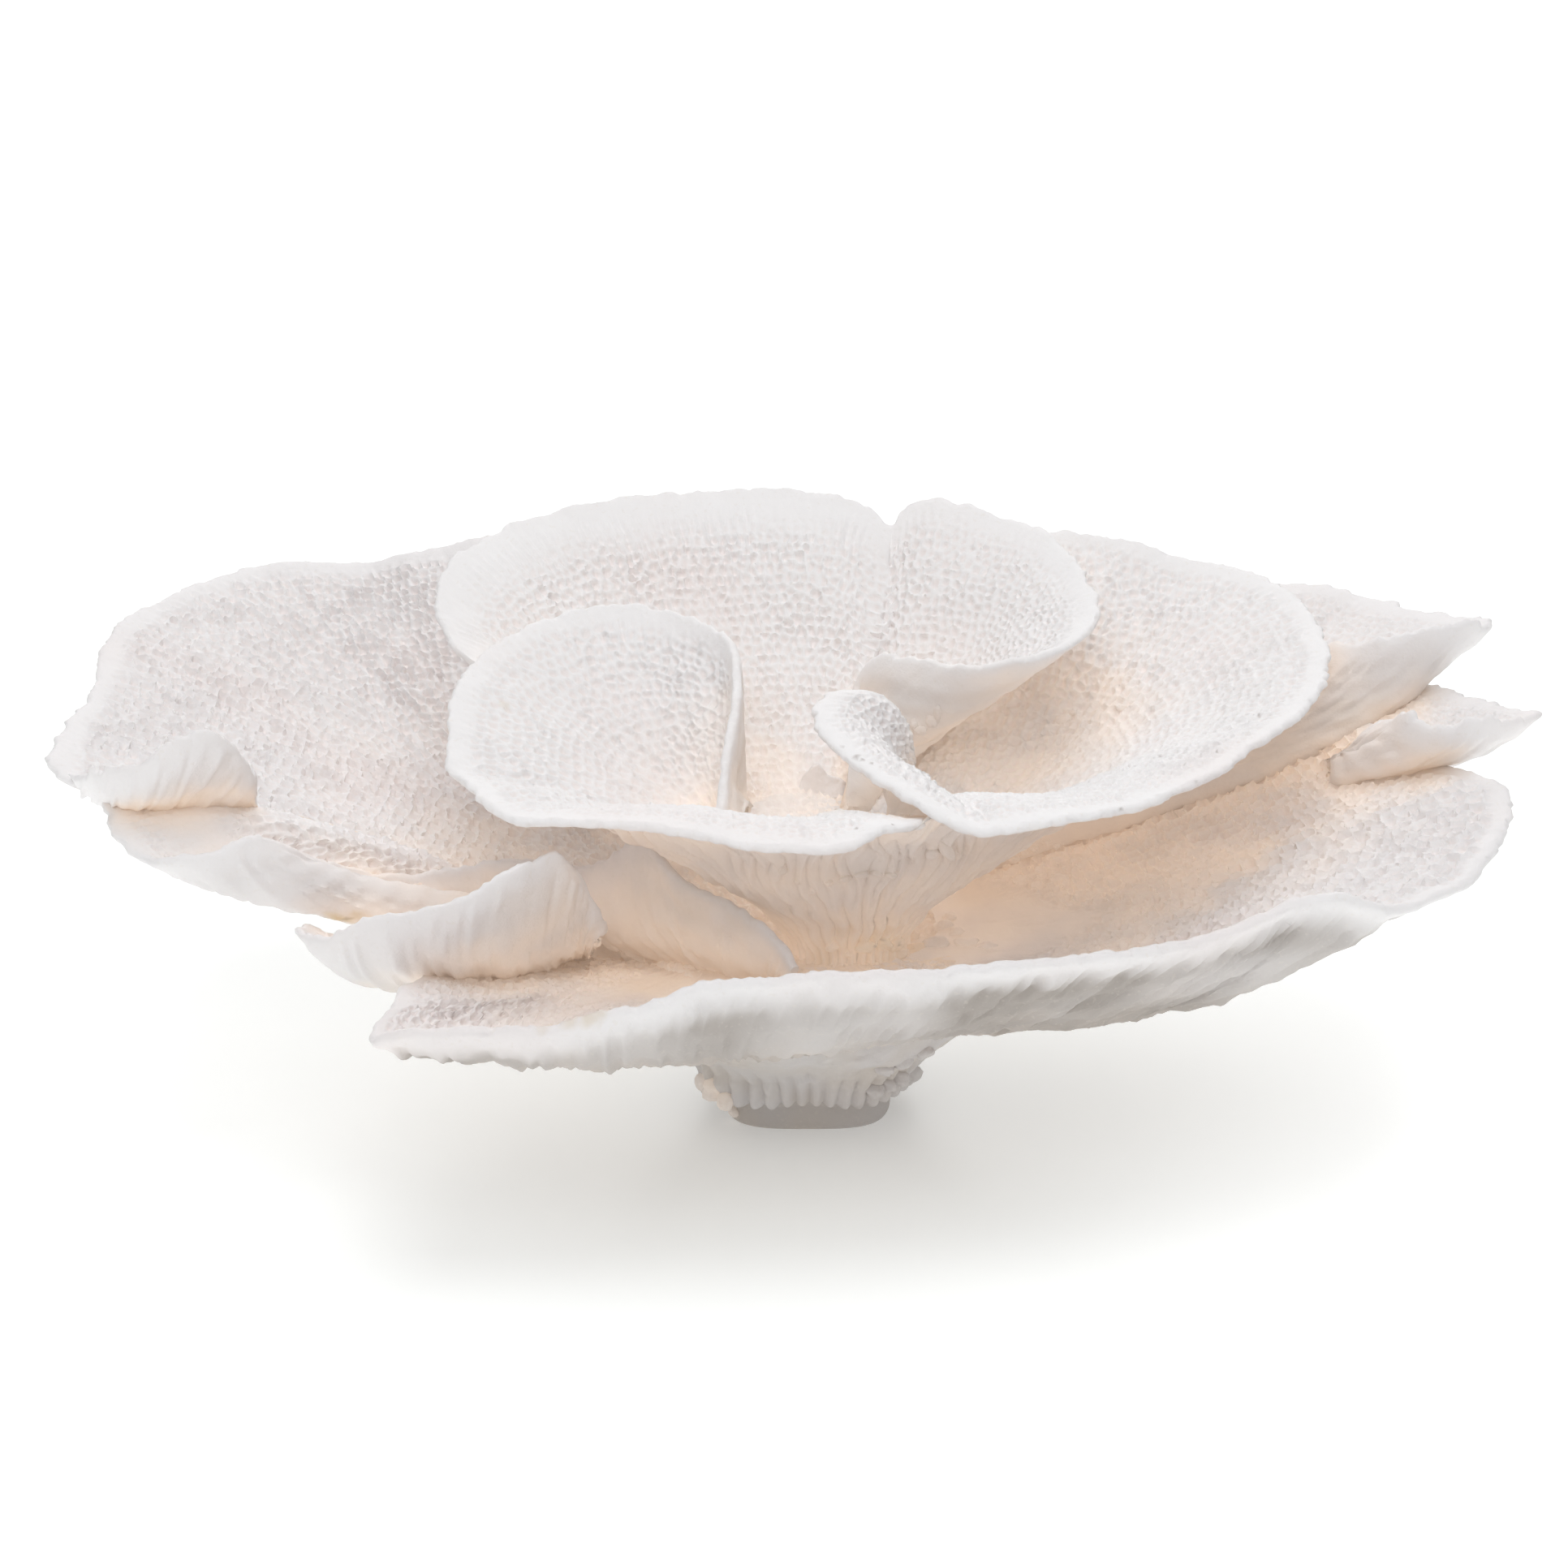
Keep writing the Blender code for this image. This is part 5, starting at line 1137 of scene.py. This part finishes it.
LUMPS = [  # column, row, across, up, out, seed, stain
    (965, 1071, 1.7, 1.4, 1.1, 1, 0.05), (1000, 1096, 1.4, 1.2, 1.0, 2, 0.05), (1021, 1088, 1.0, 1.0, 0.9, 3, 0.05),
    (983, 1086, 0.9, 0.8, 0.8, 4, 0.05), (1042, 1082, 2.0, 0.8, 0.9, 5, 0.05), (1060, 1078, 2.2, 0.9, 1.0, 6, 0.05),
    (1080, 1076, 2.0, 0.8, 0.9, 7, 0.05), (1098, 1078, 1.6, 0.8, 0.8, 8, 0.05), (1164, 1046, 3.6, 2.0, 1.6, 9, 0.0),
    (1148, 1052, 2.2, 1.6, 1.2, 10, 0.0), (1178, 1052, 1.8, 1.3, 1.0, 11, 0.0),
    (1068, 1166, 2.8, 1.8, 1.7, 12, 0.30), (1086, 1160, 3.0, 2.0, 2.0, 13, 0.36), (1103, 1163, 2.4, 1.9, 1.8, 14, 0.30),
    (1124, 1155, 2.1, 2.1, 2.0, 15, 0.16), (1131, 1170, 3.6, 1.7, 1.7, 16, 0.26), (1108, 1174, 2.6, 1.5, 1.5, 17, 0.20),
    (1170, 1131, 1.9, 1.7, 1.5, 18, 0.0), (1161, 1142, 2.6, 1.9, 1.6, 19, 0.0), (1178, 1149, 2.2, 1.6, 1.5, 20, 0.0),
    (1152, 1163, 3.4, 2.0, 1.6, 21, 0.04), (1190, 1162, 3.6, 1.9, 1.5, 22, 0.0), (1216, 1166, 2.6, 1.3, 1.1, 23, 0.0),
    (1026, 1166, 2.2, 1.4, 1.2, 24, 0.10), (1044, 1172, 2.6, 1.5, 1.3, 25, 0.14),
    (1250, 1059, 1.5, 1.1, 1.1, 30, 0.0), (1262, 1052, 1.3, 1.0, 1.0, 31, 0.0), (1274, 1046, 1.6, 1.1, 1.1, 32, 0.0),
    (1288, 1038, 1.4, 1.0, 1.0, 33, 0.0), (1301, 1043, 1.0, 0.8, 0.8, 34, 0.0), (1240, 1068, 1.1, 0.9, 0.8, 35, 0.0),
    (1256, 1085, 2.6, 1.6, 0.5, 36, 0.0), (1281, 1094, 3.0, 1.8, 0.5, 37, 0.0), (1306, 1085, 2.6, 1.6, 0.5, 38, 0.0),
    (1070, 1194, 0.9, 0.8, 0.8, 42, 0.0), (1081, 1193, 0.7, 0.6, 0.6, 43, 0.0), (1110, 1193, 0.9, 0.7, 0.7, 44, 0.0),
    (1119, 1191, 0.5, 0.5, 0.5, 45, 0.0),
    (840, 1336, 3.0, 2.5, 2.2, 52, 0.02),
    (845, 1318, 2.5, 2.0, 1.8, 53, 0.02), (852, 1347, 2.8, 2.3, 2.0, 54, 0.04), (868, 1354, 3.0, 2.5, 2.2, 55, 0.04),
    (880, 1341, 3.5, 3.0, 2.6, 56, 0.02), (895, 1357, 2.7, 2.4, 2.2, 57, 0.05), (905, 1369, 2.0, 1.8, 1.7, 58, 0.05),
    (866, 1332, 2.8, 2.3, 2.1, 59, 0.02), (1078, 1343, 2.8, 2.2, 1.7, 70, 0.03), (1092, 1336, 2.6, 2.1, 1.6, 71, 0.03),
    (1106, 1330, 3.0, 2.3, 1.8, 72, 0.03), (1124, 1323, 2.8, 2.2, 1.6, 73, 0.02), (1140, 1316, 3.1, 2.2, 1.7, 74, 0.02),
    (1160, 1308, 2.9, 2.2, 1.6, 75, 0.02),
    (1088, 1318, 2.6, 2.0, 1.5, 94, 0.02), (1114, 1308, 2.8, 2.1, 1.5, 95, 0.02), (1140, 1297, 2.7, 2.0, 1.4, 96, 0.02),
    (1170, 1286, 2.8, 2.0, 1.4, 97, 0.02),
    (1155, 881, 0.9, 3.0, 1.0, 60, 0.0), (1148, 889, 1.3, 2.0, 0.9, 61, 0.0), (1135, 900, 1.8, 1.6, 1.1, 62, 0.0),
    (1126, 893, 1.0, 1.5, 0.8, 63, 0.0), (1310, 886, 2.3, 1.5, 1.1, 64, 0.0), (1322, 878, 1.5, 1.1, 0.9, 65, 0.0),
    (1380, 871, 1.7, 1.1, 0.9, 66, 0.0)]
FLAKE = [(984, 972), (988, 958), (994, 951), (1001, 944), (1009, 941), (1014, 946), (1019, 955), (1028, 957), (1037, 960), (1044, 966),
         (1047, 974)]


READ = {}


def tone(found, centre, key):
    """The value of a field of a surface at this place."""
    if key not in found.data.attributes:
        return 0.0
    if (found.name, key) not in READ:
        places = np.empty(len(found.data.vertices) * 3)
        found.data.vertices.foreach_get("co", places)
        values = np.empty(len(found.data.vertices), np.float32)
        found.data.attributes[key].data.foreach_get("value", values)
        READ[found.name, key] = places.reshape(-1, 3) * 1000, values
    places, values = READ[found.name, key]
    return float(values[np.argmin(((places - centre) ** 2).sum(1))])


def lump(centre, size, normal, seed, rough=0.30):
    """One rounded, uneven body: size is across, up and out from the surface it sits on."""
    right = np.array([1.0, 0, 0])
    out = normal / (np.linalg.norm(normal) + 1e-9)
    up = np.cross(out, right)
    up /= np.linalg.norm(up) + 1e-9
    right = np.cross(up, out)
    rings, around = 9, 16
    unit = [(0.0, 0.0, -1.0)]
    for k in range(1, rings):
        b = -math.pi / 2 + math.pi * k / rings
        unit += [(math.cos(b) * math.cos(a), math.cos(b) * math.sin(a), math.sin(b))
                 for a in (2 * math.pi * m / around for m in range(around))]
    unit.append((0.0, 0.0, 1.0))
    unit = np.array(unit)
    swell = 1 + rough * noise(unit * 1.0, 0.75, 200 + seed) + 0.5 * rough * noise(unit, 0.33, 300 + seed)
    body = unit * swell[:, None] * np.array(size)
    points = centre + body[:, :1] * right + body[:, 1:2] * up + body[:, 2:] * out
    faces = []
    m = np.arange(around)
    n = (m + 1) % around
    faces.append(np.stack([np.zeros(around, int), 1 + n, 1 + m], 1))
    for k in range(rings - 2):
        a, b = 1 + k * around, 1 + (k + 1) * around
        faces += [np.stack([a + m, a + n, b + n], 1), np.stack([a + m, b + n, b + m], 1)]
    last = 1 + (rings - 2) * around
    faces.append(np.stack([last + m, last + n, np.full(around, last + around)], 1))
    return points, np.concatenate(faces)


bpy.context.view_layer.update()
points, faces, stains, total = [], [], [], 0
# each lump takes the painted shade of the surface it sits on
tones = {"shut": [], "under": [], "tight": []}
for col, row, across, up, out, seed, stain in LUMPS:
    centre, normal, found = seat(col, row)
    if centre is None:
        continue
    p, f = lump(centre, (across, up, out), normal, seed)
    points.append(p)
    faces.append(f + total)
    stains.append(np.full(len(p), stain))
    for key, kept in tones.items():
        # lumps 52 to 59, under the front plate, get a fixed painted tan and painted glow and no grey shade
        kept.append(np.full(len(p), (0.52 if key == "shut" else 0.0) if 49 < seed < 60 else tone(found, centre, key)))
    total += len(p)
base_at, _, base_on = seat(1014, 978)
if base_at is not None:
    # a thin upturned bit of plate: across, up, with its upper edge from FLAKE
    na, nb = 40, 16
    cols = np.array([c for c, _ in FLAKE], float)
    tops = np.array([r for _, r in FLAKE], float)
    c = np.linspace(cols[0], cols[-1], na)
    t = np.linspace(0, 1, nb)
    deep = base_at[1]
    sheet = np.array([[at(ci, 982 + (np.interp(ci, cols, tops) - 982) * ti, deep + 1.2 * math.sin(ci * 0.09) + 1.6 * ti) for ti in t] for ci in c])
    bumps = 0.35 * noise(sheet, 2.2, 450) + 0.2 * noise(sheet, 1.0, 451)
    front = sheet + np.array([0, -1.0, 0]) * (0.65 - 0.35 * t[None, :, None]) + bumps[..., None] * np.array([0.3, -0.8, 0.3])
    rear = sheet + np.array([0, 1.0, 0]) * (0.65 - 0.35 * t[None, :, None])
    p = np.concatenate([front.reshape(-1, 3), rear.reshape(-1, 3)])
    n = na * nb
    f = []
    for i in range(na - 1):
        for j in range(nb - 1):
            q = (i * nb + j, (i + 1) * nb + j, (i + 1) * nb + j + 1, i * nb + j + 1)
            f += [(q[0], q[1], q[2]), (q[0], q[2], q[3]), (q[2] + n, q[1] + n, q[0] + n), (q[3] + n, q[2] + n, q[0] + n)]
        for j in (0, nb - 1):
            q = (i * nb + j, (i + 1) * nb + j)
            edge = [(q[0], q[0] + n, q[1] + n), (q[0], q[1] + n, q[1])]
            f += edge if j == 0 else [e[::-1] for e in edge]
    for j in range(nb - 1):
        for i in (0, na - 1):
            q = (i * nb + j, i * nb + j + 1)
            edge = [(q[0], q[1], q[1] + n), (q[0], q[1] + n, q[0] + n)]
            f += edge if i == 0 else [e[::-1] for e in edge]
    points.append(p)
    faces.append(np.array(f, np.int64) + total)
    stains.append(np.zeros(len(p)))
    for key, kept in tones.items():
        # the flake gets a fixed painted tan and painted glow
        kept.append(np.full(len(p), 0.22 if key == "shut" else 0.0))
    total += len(p)
points, faces, stains = np.concatenate(points), np.concatenate(faces), np.concatenate(stains)
zero = np.zeros(total)
uv = np.stack([0.5 + points[:, 0] / 450, 0.5 + points[:, 1] / 450], -1)
crumbs = piece("crumbs_skin", points, faces, lower_stuff,
               {"pit": zero, "stain": stains, "fleck": zero, **{key: np.concatenate(kept) for key, kept in tones.items()}}, uv=uv)
told("crumbs_skin", faces)
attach(crumbs, "root")
bpy.context.view_layer.update()


def mark(key, col, row, radius, amount):
    """Stains or dots the surface seen at this place."""
    centre, _, found = seat(col, row)
    if centre is None or key not in found.data.attributes:
        return
    mesh = found.data
    places = np.empty(len(mesh.vertices) * 3)
    mesh.vertices.foreach_get("co", places)
    places = places.reshape(-1, 3) * 1000
    values = np.empty(len(mesh.vertices), np.float32)
    mesh.attributes[key].data.foreach_get("value", values)
    far = np.linalg.norm(places - centre, axis=1)
    if key == "stain":
        far = far + 0.35 * radius * noise(places, radius * 0.8, 400)
    mesh.attributes[key].data.foreach_set("value", np.maximum(values, amount * (1 - ramp(far, radius * 0.35, radius))).astype(np.float32))


for col, row, radius, amount in ((668, 1266, 2.6, 0.16), (686, 1262, 3.0, 0.24), (704, 1259, 3.0, 0.30), (722, 1254, 3.0, 0.34), (738, 1249, 2.6, 0.30), (420, 1133, 3.0, 0.80),
                                 (436, 1128, 3.0, 0.55), (404, 1128, 2.4, 0.45), (1040, 1150, 5.0, 0.22), (1075, 1150, 5.5, 0.28),
                                 (1100, 1148, 4.5, 0.24), (905, 1120, 9.0, 0.10), (860, 1110, 9.0, 0.08), (1280, 720, 1.0, 0.2),
                                 (1700, 870, 6.0, 0.10), (1660, 880, 7.0, 0.10), (620, 868, 2.0, 0.20)):
    mark("stain", col, row, radius, amount)
for col, row, radius in ((1550, 881, 0.7), (1500, 926, 0.65), (1430, 931, 0.6), (1380, 998, 0.7), (1038, 919, 0.7), (1055, 931, 0.75),
                         (1075, 941, 0.7), (1064, 936, 0.6), (1055, 1021, 0.7), (1100, 1016, 0.65),
                         (1086, 1157, 0.8), (1079, 1166, 0.8), (1098, 1152, 0.7), (1108, 1164, 0.7), (416, 1137, 0.8),
                         (428, 1133, 0.6), (620, 872, 0.4), (1415, 668, 0.6), (1530, 700, 0.5),
                         (1800, 1080, 0.6), (1150, 1010, 0.6), (912, 1052, 0.6), (1472, 962, 0.6), (1595, 880, 0.6)):
    mark("fleck", col, row, radius, 0.45)


# The camera, the floor and the light
view = bpy.data.cameras.new("view")
view.lens = 100.0
view.sensor_width = 36.0
view.clip_end = 50.0
camera = bpy.data.objects.new("view", view)
camera.location = tuple(EYE * 0.001)
camera.rotation_euler = (math.radians(90) - TILT, 0, 0)
bpy.context.scene.collection.objects.link(camera)
bpy.context.scene.camera = camera

floor_mesh = bpy.data.meshes.new("floor")
floor_mesh.from_pydata([(-6, -6, 0), (6, -6, 0), (6, 12, 0), (-6, 12, 0)], [], [(0, 1, 2, 3)])
floor = bpy.data.objects.new("floor", floor_mesh)
floor_stuff = bpy.data.materials.new("floor")
floor_stuff.use_nodes = True
shader = floor_stuff.node_tree.nodes["Principled BSDF"]
shader.inputs["Base Color"].default_value = (0.925, 0.945, 0.935, 1)
shader.inputs["Roughness"].default_value = 0.35
shader.inputs["Specular IOR Level"].default_value = 0.15
shader.inputs["Emission Color"].default_value = (1, 1, 1, 1)
nodes, links = floor_stuff.node_tree.nodes, floor_stuff.node_tree.links
# painted light: the floor glows, dimmer near the coral's foot, which paints its shadow there
spot = nodes.new("ShaderNodeTexCoord")
far = nodes.new("ShaderNodeVectorMath")
far.operation = "DISTANCE"
links.new(spot.outputs["Object"], far.inputs[0])
far.inputs[1].default_value = (-0.04, 0.0, 0.0)
painted_floor_light = nodes.new("ShaderNodeMapRange")
painted_floor_light.interpolation_type = "SMOOTHSTEP"
links.new(far.outputs["Value"], painted_floor_light.inputs["Value"])
for key, value in (("From Min", 0.03), ("From Max", 0.32), ("To Min", 0.19), ("To Max", 0.45)):
    painted_floor_light.inputs[key].default_value = value
links.new(painted_floor_light.outputs["Result"], shader.inputs["Emission Strength"])
floor_mesh.materials.append(floor_stuff)
bpy.context.scene.collection.objects.link(floor)

world = bpy.data.worlds.new("studio")
world.use_nodes = True
back = world.node_tree.nodes["Background"]
back.inputs["Color"].default_value = (1, 1, 1, 1)
back.inputs["Strength"].default_value = 0.41
bpy.context.scene.world = world


def lamp(name, place, aim, size, power, colour=(1, 1, 1)):
    light = bpy.data.lights.new(name, "AREA")
    light.shape = "DISK"
    light.size = size
    light.energy = power
    light.color = colour
    made = bpy.data.objects.new(name, light)
    made.location = place
    made.rotation_euler = (Vector(aim) - Vector(place)).to_track_quat("-Z", "Y").to_euler()
    bpy.context.scene.collection.objects.link(made)


lamp("overhead", (0.1, 0.1, 1.9), (0, 0, 0.05), 1.5, 12)
lamp("front", (-0.2, -1.35, 1.7), (0, 0, 0.07), 1.6, 10)
lamp("behind", (0, 2.6, 1.5), (0, 1.9, 0), 1.8, 22)
bpy.context.scene.view_settings.view_transform = "Standard"
bpy.context.scene.view_settings.look = "None"
